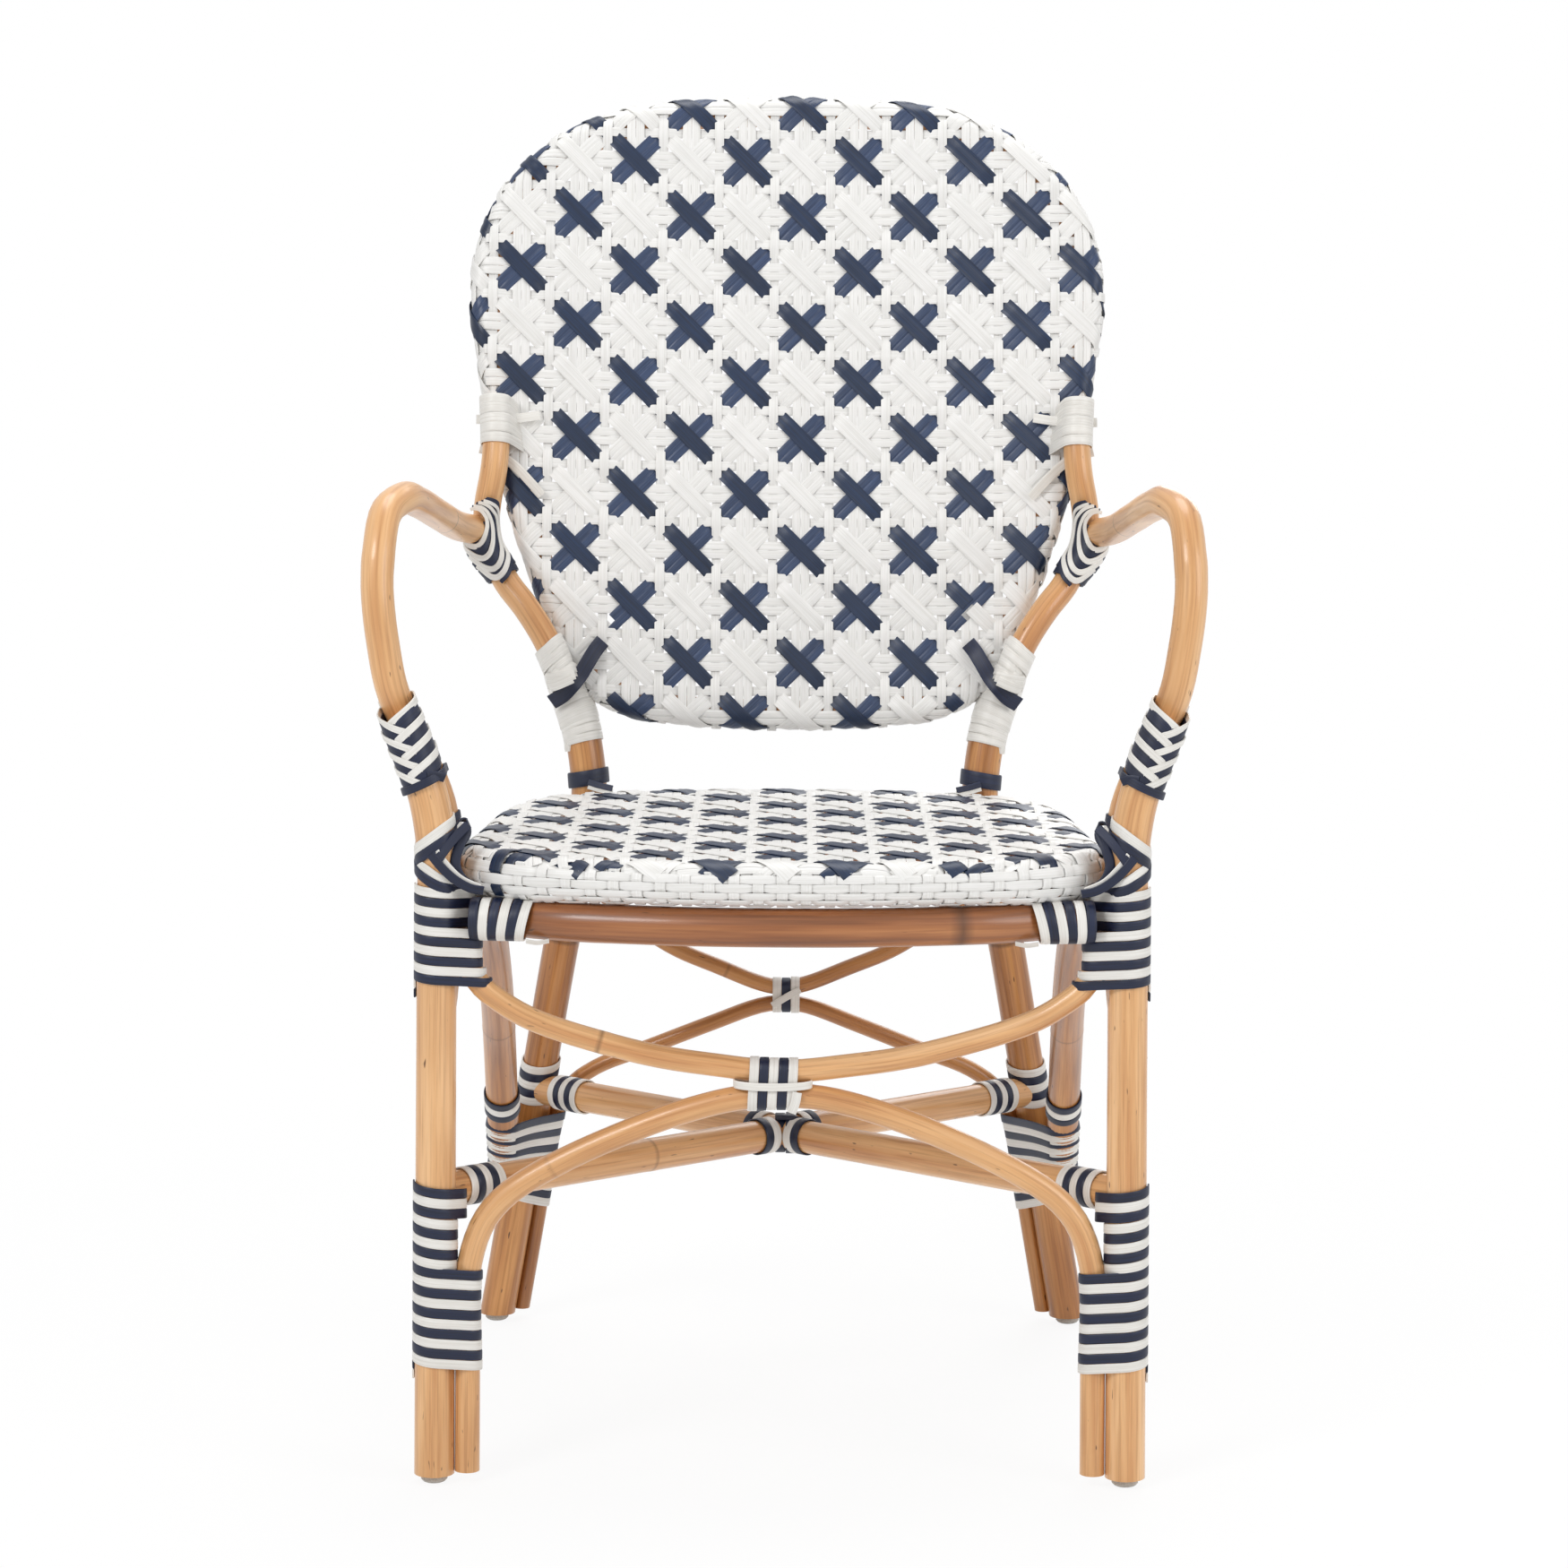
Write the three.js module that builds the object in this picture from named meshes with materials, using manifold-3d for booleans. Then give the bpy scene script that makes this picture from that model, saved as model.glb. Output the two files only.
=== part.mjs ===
// Rattan bistro armchair: bent poles, two woven panels and wound bindings.
// Millimetres, +Z up. The sitter faces -Y, the floor is Z = 0.
// The front legs stand in the plane Y = 0 until the last step centres the chair on its own box.

import * as THREE from 'three';
import { mergeVertices } from 'three/addons/utils/BufferGeometryUtils.js';
import { ConvexGeometry } from 'three/addons/geometries/ConvexGeometry.js';
import Module from 'manifold-3d';

const wasm = await Module();
wasm.setup();

// Fits
const gap = 0.3;
const mergeTolerance = 0.0001;

// Poles
const legRadius = 14;
const armRadius = 11.3;
const outerPostRadius = 10.5;
const hoopRadius = 10;
const seatRingRadius = 12;
const railRadius = 13.5;
const upperBraceRadius = 8;
const lowerBraceRadius = 8.7;
const rearBraceRadius = 6.2;
const sideBraceRadius = 12.3;
const stretcherRadius = 12;
const poleSides = 10;
const thinPoleSides = 8;

// Woven strands, two layers deep where they cross
const weaveDepth = 4;

// Seat
const seatTop = 446;
const seatHalfWidth = 225;
const seatDepth = 441;
const seatOverhang = 56;
const loopBend = THREE.MathUtils.degToRad(22);

// Front legs
const legStandoff = 3;
const legLeanIn = 4;
const legStraightTop = 443;
const legBendRun = 40;
const legTop = 538;
const legFlare = 25;
const glideHeight = 6;
const glideRadius = 9.3;
const glideFlatRadius = 6.5;
const glideEdge = 2.2;
const braceFootHeight = 8;

// Rear legs
const rearFootOutset = 7;
const rearFootHalfWidth = seatHalfWidth + rearFootOutset;
const rearFootBack = 461;
const rearLegBend = 330;
const rearLegRise = 84;
const rearLegKick = 19;
const rearLegLean = 17;

// Arms
const armHeight = 685;
const armOutset = 54;
const armHalfSpan = seatHalfWidth + armOutset;
const armRootHeight = 644;
const armRootOutset = 7;
const armTailTop = 350;
const armTailEnd = 296;
const armTailOutset = 8;

// Back
const backHalfWidth = 250;
const backRise = 508;
const backFoot = 494;
const backSetback = 23;
const backDish = 22;
const backLean = THREE.MathUtils.degToRad(13.2);

// Braces between the legs
const upperBraceTop = 384;
const upperBraceDrop = 91;
const lowerBraceShoulder = 150;
const rearUpperBraceTop = 362;
const rearUpperBraceDrop = 80;
const rearLowerBraceShoulder = 175;
const rearBraceSetback = 8;
const sideBraceStart = 52;
const sideBraceTop = 386;
const sideBraceInset = 13;
const sideBraceEnd = 138;

// Cross stretchers
const stretcherFront = 207;
const stretcherRear = 198;

// Wound strips
const stripWidth = 5.8;
const stripDepth = 1.4;
const stripStand = 1.1;
const stripSteps = 10;
const lowerBindingTop = 191;
const lowerBindingPitch = 13.9;
const lowerBindingTurns = 8;
const lowerBindingSplit = 170;
const upperBindingTop = 417;
const upperBindingPitch = 13.2;
const upperBindingTurns = 4;

// Plain sleeves that stand for the other bindings
const sleeveDepth = 1.4;
const collarDepth = 1.8;
const collarLength = 31;
const collarFront = 40;
const collarRear = 43;
const armWrapTop = 557;
const armWrapBottom = 486;
const jointTop = 672;
const jointBottom = 606;
const jointReach = 24;
const shoulderTop = 560;
const shoulderBottom = 479;
const upperWrapBottom = 706;
const upperWrapLow = 0.43;
const upperWrapHigh = 0.515;
const postCollarBottom = 448;
const postCollarTop = 461;
const rearBindingTop = 182;
const rearBindingBottom = 104;
const rearBindingBrace = 160;
const tieHalfWidth = 18;
const sideTieBottom = 450;
const sideTieTop = 468;
const cornerTieBottom = 423;
const cornerTieTop = 448;
const railShares = [0.858, 0.875, 0.892];

// Colours of the finishes
const honeyRattan = { color: 0xe0ac72, roughness: 0.42, metalness: 0 };
const darkRattan = { color: 0xb97a44, roughness: 0.45, metalness: 0 };
const whiteStrand = { color: 0xefedE8, roughness: 0.5, metalness: 0 };
const navyStrand = { color: 0x1d2c48, roughness: 0.45, metalness: 0 };
const paleGlide = { color: 0xcfcac4, roughness: 0.5, metalness: 0 };

// Solids from geometries and back

function turnedOutward(geometry) {
  const points = geometry.getAttribute('position');
  const index = geometry.getIndex();
  const a = new THREE.Vector3();
  const b = new THREE.Vector3();
  const c = new THREE.Vector3();
  let volume = 0;
  for (let i = 0; i < index.count; i += 3) {
    a.fromBufferAttribute(points, index.getX(i));
    b.fromBufferAttribute(points, index.getX(i + 1));
    c.fromBufferAttribute(points, index.getX(i + 2));
    volume += a.dot(b.cross(c));
  }
  if (volume < 0) flip(index);
  return geometry;
}

function flip(index) {
  for (let i = 0; i < index.count; i += 3) {
    const kept = index.getX(i + 1);
    index.setX(i + 1, index.getX(i + 2));
    index.setX(i + 2, kept);
  }
}

function solidOf(geometry) {
  const bare = geometry.clone();
  bare.deleteAttribute('normal');
  bare.deleteAttribute('uv');
  const merged = turnedOutward(mergeVertices(bare, mergeTolerance));
  const vertProperties = new Float32Array(merged.getAttribute('position').array);
  const triVerts = new Uint32Array(merged.getIndex().array);
  return new wasm.Manifold(new wasm.Mesh({ numProp: 3, vertProperties, triVerts }));
}

function geometryOf(solid) {
  const mesh = solid.getMesh();
  const geometry = new THREE.BufferGeometry();
  geometry.setAttribute('position', new THREE.BufferAttribute(mesh.vertProperties, 3));
  geometry.setIndex(new THREE.BufferAttribute(mesh.triVerts, 1));
  geometry.computeVertexNormals();
  return geometry;
}

function largest(solid) {
  const bodies = solid.decompose();
  return bodies.reduce((best, body) => (body.volume() > best.volume() ? body : best));
}

function cut(solid, cutters) {
  const rest = cutters.reduce((left, cutter) => left.subtract(cutter), solid);
  return largest(rest);
}

function mirrored(geometry) {
  const other = geometry.clone();
  other.scale(-1, 1, 1);
  flip(other.getIndex());
  other.computeVertexNormals();
  return other;
}

// A solid lofted through rings of points, closed on itself or capped by a fan at both ends
function lofted(rings, closed) {
  const count = rings[0].length;
  const points = rings.flat();
  const faces = [];
  const spans = closed ? rings.length : rings.length - 1;
  for (let i = 0; i < spans; i += 1) {
    const near = i * count;
    const far = ((i + 1) % rings.length) * count;
    for (let j = 0; j < count; j += 1) {
      const next = (j + 1) % count;
      faces.push(near + j, near + next, far + next, near + j, far + next, far + j);
    }
  }
  if (!closed) {
    capFan(points, faces, rings[0], 0, false);
    capFan(points, faces, rings[rings.length - 1], (rings.length - 1) * count, true);
  }
  const geometry = new THREE.BufferGeometry().setFromPoints(points);
  geometry.setIndex(faces);
  return turnedOutward(geometry);
}

function capFan(points, faces, ring, first, atEnd) {
  const middle = new THREE.Vector3();
  ring.forEach((point) => middle.add(point));
  middle.divideScalar(ring.length);
  const hub = points.push(middle) - 1;
  for (let j = 0; j < ring.length; j += 1) {
    const here = first + j;
    const next = first + ((j + 1) % ring.length);
    if (atEnd) faces.push(hub, here, next);
    else faces.push(hub, next, here);
  }
}

// Poles. A path takes its rings at even shares of its points, so tight bends get more of them

class BendPath extends THREE.CatmullRomCurve3 {
  getUtoTmapping(share) {
    return share;
  }
}

function roundSection(radius, sides) {
  const section = new THREE.Shape();
  for (let i = 0; i < sides; i += 1) {
    const angle = (i / sides) * 2 * Math.PI;
    const x = radius * Math.cos(angle);
    const y = radius * Math.sin(angle);
    if (i === 0) section.moveTo(x, y);
    else section.lineTo(x, y);
  }
  section.closePath();
  return section;
}

function lengthened(points, extra) {
  const longer = points.map((point) => point.clone());
  const last = points.length - 1;
  longer[0].addScaledVector(points[0].clone().sub(points[1]).normalize(), extra);
  longer[last].addScaledVector(points[last].clone().sub(points[last - 1]).normalize(), extra);
  return longer;
}

function pole(points, radius, ringsPerSpan, sides = poleSides) {
  const curve = new THREE.CatmullRomCurve3(points, false, 'centripetal');
  const steps = (points.length - 1) * ringsPerSpan;
  const body = (extra) => {
    const path = new BendPath(lengthened(points, extra), false, 'centripetal');
    const options = { steps, bevelEnabled: false, extrudePath: path };
    return solidOf(new THREE.ExtrudeGeometry(roundSection(radius + extra, sides), options));
  };
  return { curve, radius, steps, body };
}

function acrossPair(half) {
  const other = half.slice(0, -1).map((point) => new THREE.Vector3(-point.x, point.y, point.z));
  return [...half, ...other.reverse()];
}

function at(x, y, z) {
  return new THREE.Vector3(x, y, z);
}

// The place on a pole at a height, between two shares of its run
function placeAtHeight(curve, height, fromShare = 0, toShare = 1) {
  let low = fromShare;
  let high = toShare;
  const rises = curve.getPoint(toShare).z > curve.getPoint(fromShare).z;
  for (let i = 0; i < 40; i += 1) {
    const middle = (low + high) / 2;
    const above = curve.getPoint(middle).z > height;
    if (above === rises) high = middle;
    else low = middle;
  }
  return (low + high) / 2;
}

// The place on a pole at a distance along it
function placeAlong(curve, distance) {
  return curve.getUtoTmapping(0, distance);
}

function pointAtHeight(curve, height, fromShare, toShare) {
  return curve.getPoint(placeAtHeight(curve, height, fromShare, toShare));
}

// Closed outlines

function smoothLoop(shares, halfWidth, length, start) {
  const right = shares.map(([across, along]) => at(across * halfWidth, start + along * length, 0));
  const left = right.slice(1, -1).reverse().map((point) => at(-point.x, point.y, 0));
  return new THREE.CatmullRomCurve3([...right, ...left], true, 'centripetal');
}

// Stations stand on the outline's points, with one more between them where it bends hard
function stationsOf(curve) {
  const spans = curve.points.length;
  const shares = [];
  for (let i = 0; i < spans; i += 1) {
    const bend = curve.getTangent(i / spans).angleTo(curve.getTangent((i + 1) / spans));
    shares.push(i / spans);
    if (bend > loopBend) shares.push((i + 1 / 2) / spans);
  }
  return shares.map((share) => {
    const along = curve.getTangent(share);
    return { point: curve.getPoint(share), outward: at(along.y, -along.x, 0) };
  });
}

function insetRing(stations, inset, lift, place) {
  return stations.map(({ point, outward }) => {
    const spot = point.clone().addScaledVector(outward, -inset);
    return place(spot.x, spot.y, lift);
  });
}

function sharedRing(stations, inset, share, lift, place) {
  const middle = new THREE.Vector3();
  stations.forEach(({ point }) => middle.add(point));
  middle.divideScalar(stations.length);
  return stations.map(({ point, outward }) => {
    const spot = point.clone().addScaledVector(outward, -inset).lerp(middle, share);
    return place(spot.x, spot.y, lift);
  });
}

// A woven sheet whose strands wrap round the ring pole at its edge and leave a slot inside
const wrapAngle = THREE.MathUtils.degToRad(210);
const wrapSteps = 5;

function wovenPanel(stations, ringRadius, sheetShares, place) {
  const outer = ringRadius + gap + weaveDepth;
  const step = wrapAngle / wrapSteps;
  const inner = (ringRadius + gap) / Math.cos(step / 2);
  const arc = (radius) => {
    const rings = [];
    for (let i = 0; i <= wrapSteps; i += 1) {
      const inset = outer - radius * Math.sin(i * step);
      rings.push(insetRing(stations, inset, radius * Math.cos(i * step), place));
    }
    return rings;
  };
  const sheet = (lift) => sheetShares.map((share) => sharedRing(stations, outer, share, lift, place));
  const rings = [...sheet(outer).reverse(), ...arc(outer), ...arc(inner).reverse(), ...sheet(inner)];
  return lofted(rings, false);
}

// The room that a woven panel and its hollow take, with the fit round it
function panelRoom(stations, ringRadius, sheetShares, place) {
  const outer = ringRadius + gap + weaveDepth;
  const radius = (outer + gap) / Math.cos(Math.PI / wrapSteps / 2);
  const rings = [];
  for (let i = 0; i <= wrapSteps; i += 1) {
    const angle = (i / wrapSteps) * Math.PI;
    rings.push(insetRing(stations, outer - radius * Math.sin(angle), radius * Math.cos(angle), place));
  }
  const sheet = (lift) => sheetShares.map((share) => sharedRing(stations, outer, share, lift, place));
  return solidOf(lofted([...sheet(radius).reverse(), ...rings, ...sheet(-radius)], false));
}

function ringPole(stations, inset, radius, lift, sides, place) {
  const rings = stations.map((station) => {
    const ring = [];
    for (let j = 0; j < sides; j += 1) {
      const angle = ((j + 1 / 2) / sides) * 2 * Math.PI;
      const spot = station.point.clone();
      spot.addScaledVector(station.outward, -inset + radius * Math.cos(angle));
      ring.push(place(spot.x, spot.y, lift + radius * Math.sin(angle)));
    }
    return ring;
  });
  return lofted(rings, true);
}

// Seat

const seatOutlineShares = [
  [0, 0], [0.26, 0.006], [0.49, 0.027], [0.69, 0.054], [0.84, 0.095], [0.945, 0.15], [0.995, 0.215],
  [1, 0.354], [0.991, 0.458], [0.964, 0.658], [0.916, 0.785], [0.836, 0.871], [0.72, 0.923],
  [0.538, 0.964], [0.267, 0.993], [0, 1],
];
const seatCurve = smoothLoop(seatOutlineShares, seatHalfWidth, seatDepth, -seatOverhang);
const seatStations = stationsOf(seatCurve);
const seatRim = seatRingRadius + gap + weaveDepth;
const seatRingHeight = seatTop - seatRim;
const seatUnderside = seatRingHeight - seatRim;
const railHeight = seatUnderside - gap - railRadius;
const railDrop = railHeight - seatRingHeight;
const onSeat = (x, y, lift) => at(x, y, seatRingHeight + lift);
const seatRoom = panelRoom(seatStations, seatRingRadius, [], onSeat);
const railBody = (extra) =>
  solidOf(ringPole(seatStations, seatRim, railRadius + extra, railDrop, thinPoleSides, onSeat));

// Front legs: straight to the seat, then flaring out to meet the arm

const legX = -(seatHalfWidth + legStandoff + legRadius);
const legSeatX = legX + legLeanIn;

function legXAt(height) {
  return legX + (legLeanIn * height) / legStraightTop;
}

function besideLeg(radius, height) {
  return at(legXAt(height) + legRadius + gap + radius, 0, height);
}

const legFlareShares = [[0, 0], [0.2, 0.39], [0.5, 0.65], [1, 1]];
const legPoints = [
  at(legX, 0, 0),
  at(legXAt(legStraightTop - legBendRun), 0, legStraightTop - legBendRun),
  ...legFlareShares.map(([out, up]) =>
    at(legSeatX - out * legFlare, 0, legStraightTop + up * (legTop - legStraightTop))),
];
const frontLeg = pole(legPoints, legRadius, 2);

// Rear legs: from splayed feet to the seat's rear corners, then back and out to the hoop

const rearSeatShare = 0.4012;

function besideSeat(share, distance) {
  const point = seatCurve.getPointAt(share);
  const along = seatCurve.getTangentAt(share);
  return point.addScaledVector(at(along.y, -along.x, 0), distance);
}

const rearSeat = besideSeat(1 - rearSeatShare, legRadius + gap);
const rearFoot = at(-rearFootHalfWidth, rearFootBack, 0);
const rearSlope = rearFoot.clone().sub(at(rearSeat.x, rearSeat.y, seatTop)).divideScalar(seatTop);

function onRearLeg(height) {
  return at(rearFoot.x - rearSlope.x * height, rearFoot.y - rearSlope.y * height, height);
}

const rearTopShares = [[0, 0, 0.08], [0.3, 0.33, 0.52], [1, 1, 1]];
const rearLegPoints = [
  onRearLeg(0),
  onRearLeg(rearLegBend / 2),
  onRearLeg(rearLegBend),
  at(rearSeat.x, rearSeat.y, seatTop - legRadius),
  ...rearTopShares.map(([out, back, up]) => at(
    rearSeat.x - out * rearLegKick, rearSeat.y + back * rearLegLean, seatTop + up * rearLegRise)),
];
const rearLeg = pole(rearLegPoints, legRadius, 2);

// Back: a dished, leaning panel on a closed hoop

const backOutlineShares = [
  [0, 0], [0.264, 0.004], [0.488, 0.018], [0.588, 0.0385], [0.66, 0.072], [0.725, 0.125], [0.772, 0.185],
  [0.812, 0.24], [0.85, 0.3], [0.888, 0.36], [0.93, 0.45], [0.968, 0.55], [0.994, 0.63], [0.998, 0.69],
  [0.972, 0.765], [0.892, 0.85], [0.725, 0.931], [0.5, 0.978], [0.27, 0.994], [0, 1],
];
const backCurve = smoothLoop(backOutlineShares, backHalfWidth, backRise, 0);
const backStations = stationsOf(backCurve);
const backY = seatDepth - seatOverhang - backSetback;

function onBack(x, rise, forward) {
  const out = forward - backDish * (1 - (x / backHalfWidth) ** 2);
  const y = backY + rise * Math.sin(backLean) - out * Math.cos(backLean);
  return at(x, y, backFoot + rise * Math.cos(backLean) + out * Math.sin(backLean));
}

const backSheetShares = [0.5];
const backRoom = panelRoom(backStations, hoopRadius, backSheetShares, onBack);

// Outer back posts: out round the arm joint and in front of the hoop at both ends

const postShares = [
  [0.684, 0.068, 0.9], [0.74, 0.13, 0.96], [0.804, 0.18, 0.86], [0.864, 0.219, 0.6], [0.916, 0.272, 0.45],
  [0.93, 0.306, 0.45], [0.926, 0.341, 0.62], [0.908, 0.384, 0.94], [0.9, 0.427, 1.02], [0.905, 0.5, 1.02],
];
const postForward = hoopRadius + gap + weaveDepth + gap + outerPostRadius;
const postPoints = postShares.map(([across, up, out]) =>
  onBack(-across * backHalfWidth, up * backRise, out * postForward));
const outerPost = pole(postPoints, outerPostRadius, 2, thinPoleSides);

// Arms: from the outer post forwards, over the front bend and down behind the front leg

const armPostX = -(seatHalfWidth + gap + armRadius);
const armPostY = legRadius + gap + armRadius;
const armRoot = pointAtHeight(outerPost.curve, armRootHeight);
armRoot.x -= armRootOutset;
const armSweepShares = [
  [0.896, 0.9, 0.85], [0.918, 0.605, 0.913], [0.935, 0.29, 0.979], [0.953, 0.158, 1],
  [0.986, 0.079, 0.963], [0.996, 0.037, 0.871], [1, 0.021, 0.772], [0.996, 0.016, 0.693],
  [0.986, 0.02, 0.593], [0.966, 0.032, 0.46], [0.912, 0.055, 0.3],
];
const armSweep = armSweepShares.map(([across, back, up]) =>
  at(-across * armHalfSpan, back * armRoot.y, seatTop + up * (armHeight - seatTop)));
const armPoints = [
  armRoot,
  ...armSweep,
  at(armPostX, armPostY, seatTop + armRadius * 2),
  at(armPostX, armPostY, (seatTop + armTailTop) / 2),
  at(armPostX, armPostY, armTailTop),
  at(armPostX - armTailOutset, armPostY, armTailEnd),
];
const arm = pole(armPoints, armRadius, 2);

// Braces between the front legs: a hanging bow and an arch, tangent at the middle

const upperBraceX = besideLeg(upperBraceRadius, upperBraceTop).x;
const upperBraceShares = [
  [1, 0], [1, 0.18], [0.962, 0.352], [0.906, 0.462], [0.833, 0.571], [0.747, 0.659], [0.583, 0.78],
  [0.405, 0.885], [0.223, 0.95], [0, 1],
];
const upperBraceHalf = upperBraceShares.map(([across, down]) =>
  at(across * upperBraceX, 0, upperBraceTop - down * upperBraceDrop));
const frontUpperBrace = pole(acrossPair(upperBraceHalf), upperBraceRadius, 1, thinPoleSides);

const lowerBraceX = besideLeg(lowerBraceRadius, lowerBraceShoulder).x;
const lowerBraceCrown = upperBraceTop - upperBraceDrop - upperBraceRadius - gap - lowerBraceRadius;
const lowerBraceArchShares = [
  [1, 0], [0.954, 0.27], [0.895, 0.405], [0.826, 0.5], [0.68, 0.643], [0.498, 0.786], [0.315, 0.905],
  [0.137, 0.984], [0, 1],
];
const lowerBraceHalf = [
  besideLeg(lowerBraceRadius, 0),
  besideLeg(lowerBraceRadius, lowerBraceShoulder / 2),
  ...lowerBraceArchShares.map(([across, up]) =>
    at(across * lowerBraceX, 0, lowerBraceShoulder + up * (lowerBraceCrown - lowerBraceShoulder))),
];
const frontLowerBrace = pole(acrossPair(lowerBraceHalf), lowerBraceRadius, 1, thinPoleSides);

// Braces between the rear legs: two thin poles, the lower one with feet beside the legs

function besideRearLeg(height) {
  const reach = legRadius + gap + rearBraceRadius;
  const inward = Math.sqrt(reach ** 2 - rearBraceSetback ** 2);
  return onRearLeg(height).add(at(inward, rearBraceSetback, 0));
}

function betweenRearLegs(share, height, endHeight) {
  return at(share * besideRearLeg(endHeight).x, onRearLeg(height).y + rearBraceSetback, height);
}

const rearUpperBraceShares = [
  [0.885, 0.155], [0.72, 0.43], [0.57, 0.61], [0.345, 0.79], [0.12, 0.96], [0, 1],
];
const rearUpperBraceHalf = [
  besideRearLeg(rearUpperBraceTop),
  ...rearUpperBraceShares.map(([across, down]) =>
    betweenRearLegs(across, rearUpperBraceTop - down * rearUpperBraceDrop, rearUpperBraceTop)),
];
const rearUpperBrace = pole(acrossPair(rearUpperBraceHalf), rearBraceRadius, 1, thinPoleSides);

const rearLowerCrown = rearUpperBraceTop - rearUpperBraceDrop - 2 * rearBraceRadius - gap;
const rearLowerRise = rearLowerCrown - rearLowerBraceShoulder;
const rearLowerBraceShares = [[0.945, 0.23], [0.82, 0.42], [0.59, 0.6], [0.31, 0.82], [0.1, 0.975], [0, 1]];
const rearLowerBraceHalf = [
  besideRearLeg(0),
  besideRearLeg(rearLowerBraceShoulder / 2),
  besideRearLeg(rearLowerBraceShoulder),
  ...rearLowerBraceShares.map(([across, up]) =>
    betweenRearLegs(across, rearLowerBraceShoulder + up * rearLowerRise, rearLowerBraceShoulder)),
];
const rearLowerBrace = pole(acrossPair(rearLowerBraceHalf), rearBraceRadius, 1, thinPoleSides);

// Side braces: from under the rail to the front of the rear leg

const braceContact = legRadius + gap + sideBraceRadius;
const braceLanding = onRearLeg(sideBraceEnd).add(at(-braceContact * 0.5, -braceContact * 0.87, 0));
const braceStart = at(-(seatHalfWidth - seatRim), sideBraceStart, sideBraceTop);
const sideBraceShares = [[0.12, 0.03, 0.04], [0.4, 0.25, 0.28], [0.66, 0.62, 0.52], [0.84, 0.86, 0.75]];
const sideBracePoints = [
  at(braceStart.x, braceStart.y - sideBraceInset, braceStart.z + sideBraceInset),
  ...sideBraceShares.map(([back, across, down]) => at(
    braceStart.x + across * (braceLanding.x - braceStart.x),
    braceStart.y + back * (braceLanding.y - braceStart.y),
    braceStart.z + down * (braceLanding.z - braceStart.z))),
  braceLanding,
];
const sideBrace = pole(sideBracePoints, sideBraceRadius, 2);

// Cross stretchers: from each front leg to the opposite rear leg, halved where they cross

function stretcher(side) {
  const start = at(side * legX, 0, stretcherFront);
  const end = onRearLeg(stretcherRear);
  end.x *= -side;
  const middle = start.clone().lerp(end, 1 / 2);
  return pole([start, middle, end], stretcherRadius, 1);
}

const stretcherA = stretcher(1);
const stretcherB = stretcher(-1);
const crossing = crossingPoint();

function crossingPoint() {
  const start = stretcherA.curve.getPoint(0);
  const end = stretcherA.curve.getPoint(1);
  return start.lerp(end, -start.x / (end.x - start.x));
}

function halfSpace(height, above) {
  const size = 2 * (seatDepth + seatHalfWidth);
  const box = new THREE.BoxGeometry(size, size, size);
  box.translate(0, 0, height + (above ? size / 2 : -size / 2));
  return solidOf(box);
}

// Feet

function glide() {
  const profile = [
    new THREE.Vector2(0, 0),
    new THREE.Vector2(glideFlatRadius, 0),
    new THREE.Vector2(glideRadius, glideEdge),
    new THREE.Vector2(glideRadius, glideHeight - gap),
    new THREE.Vector2(0, glideHeight - gap),
  ];
  return solidOf(new THREE.LatheGeometry(profile, poleSides).rotateX(Math.PI / 2));
}

// Wound strips: the loop that a taut strip takes round a bundle of poles

function slice(one, height, fromShare, toShare) {
  const share = placeAtHeight(one.curve, height, fromShare, toShare);
  const span = Math.min(Math.floor(share * one.steps), one.steps - 1);
  const start = one.curve.getPoint(span / one.steps);
  const end = one.curve.getPoint((span + 1) / one.steps);
  const spot = start.clone().lerp(end, (height - start.z) / (end.z - start.z));
  const rise = Math.abs(end.z - start.z);
  const lean = Math.hypot(end.x - start.x, end.y - start.y) / rise;
  const radius = (one.radius * start.distanceTo(end)) / rise + (lean * stripWidth) / 2;
  return { x: spot.x, y: spot.y, radius };
}

function support(circles, angle) {
  const reach = (circle) => circle.x * Math.cos(angle) + circle.y * Math.sin(angle) + circle.radius;
  return circles.reduce((best, circle) => (reach(circle) > reach(best) ? circle : best));
}

function touch(circle, angle, stand) {
  const reach = circle.radius + stand;
  return { x: circle.x + reach * Math.cos(angle), y: circle.y + reach * Math.sin(angle), angle };
}

function changeAngle(circles, fromAngle, toAngle, first) {
  let low = fromAngle;
  let high = toAngle;
  for (let i = 0; i < 30; i += 1) {
    const middle = (low + high) / 2;
    if (support(circles, middle) === first) low = middle;
    else high = middle;
  }
  return low;
}

const sliver = 1 / 1000;

function tautLoop(circles, stand) {
  const spots = [];
  for (let i = 0; i < stripSteps; i += 1) {
    const nextAngle = Math.PI + ((i + 1) / stripSteps) * 2 * Math.PI;
    let angle = Math.PI + (i / stripSteps) * 2 * Math.PI;
    let here = support(circles, angle);
    spots.push(touch(here, angle, stand));
    while (here !== support(circles, nextAngle)) {
      angle = changeAngle(circles, angle, nextAngle, here);
      const after = support(circles, angle + sliver);
      spots.push(touch(here, angle, stand), touch(after, angle, stand));
      angle += sliver;
      here = after;
    }
  }
  return spots;
}

function stripSection(spot, height) {
  const out = at(Math.cos(spot.angle), Math.sin(spot.angle), 0).multiplyScalar(stripDepth / 2);
  const up = at(0, 0, stripWidth / 2);
  const middle = at(spot.x, spot.y, height);
  return [
    middle.clone().sub(out).sub(up),
    middle.clone().add(out).sub(up),
    middle.clone().add(out).add(up),
    middle.clone().sub(out).add(up),
  ];
}

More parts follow.
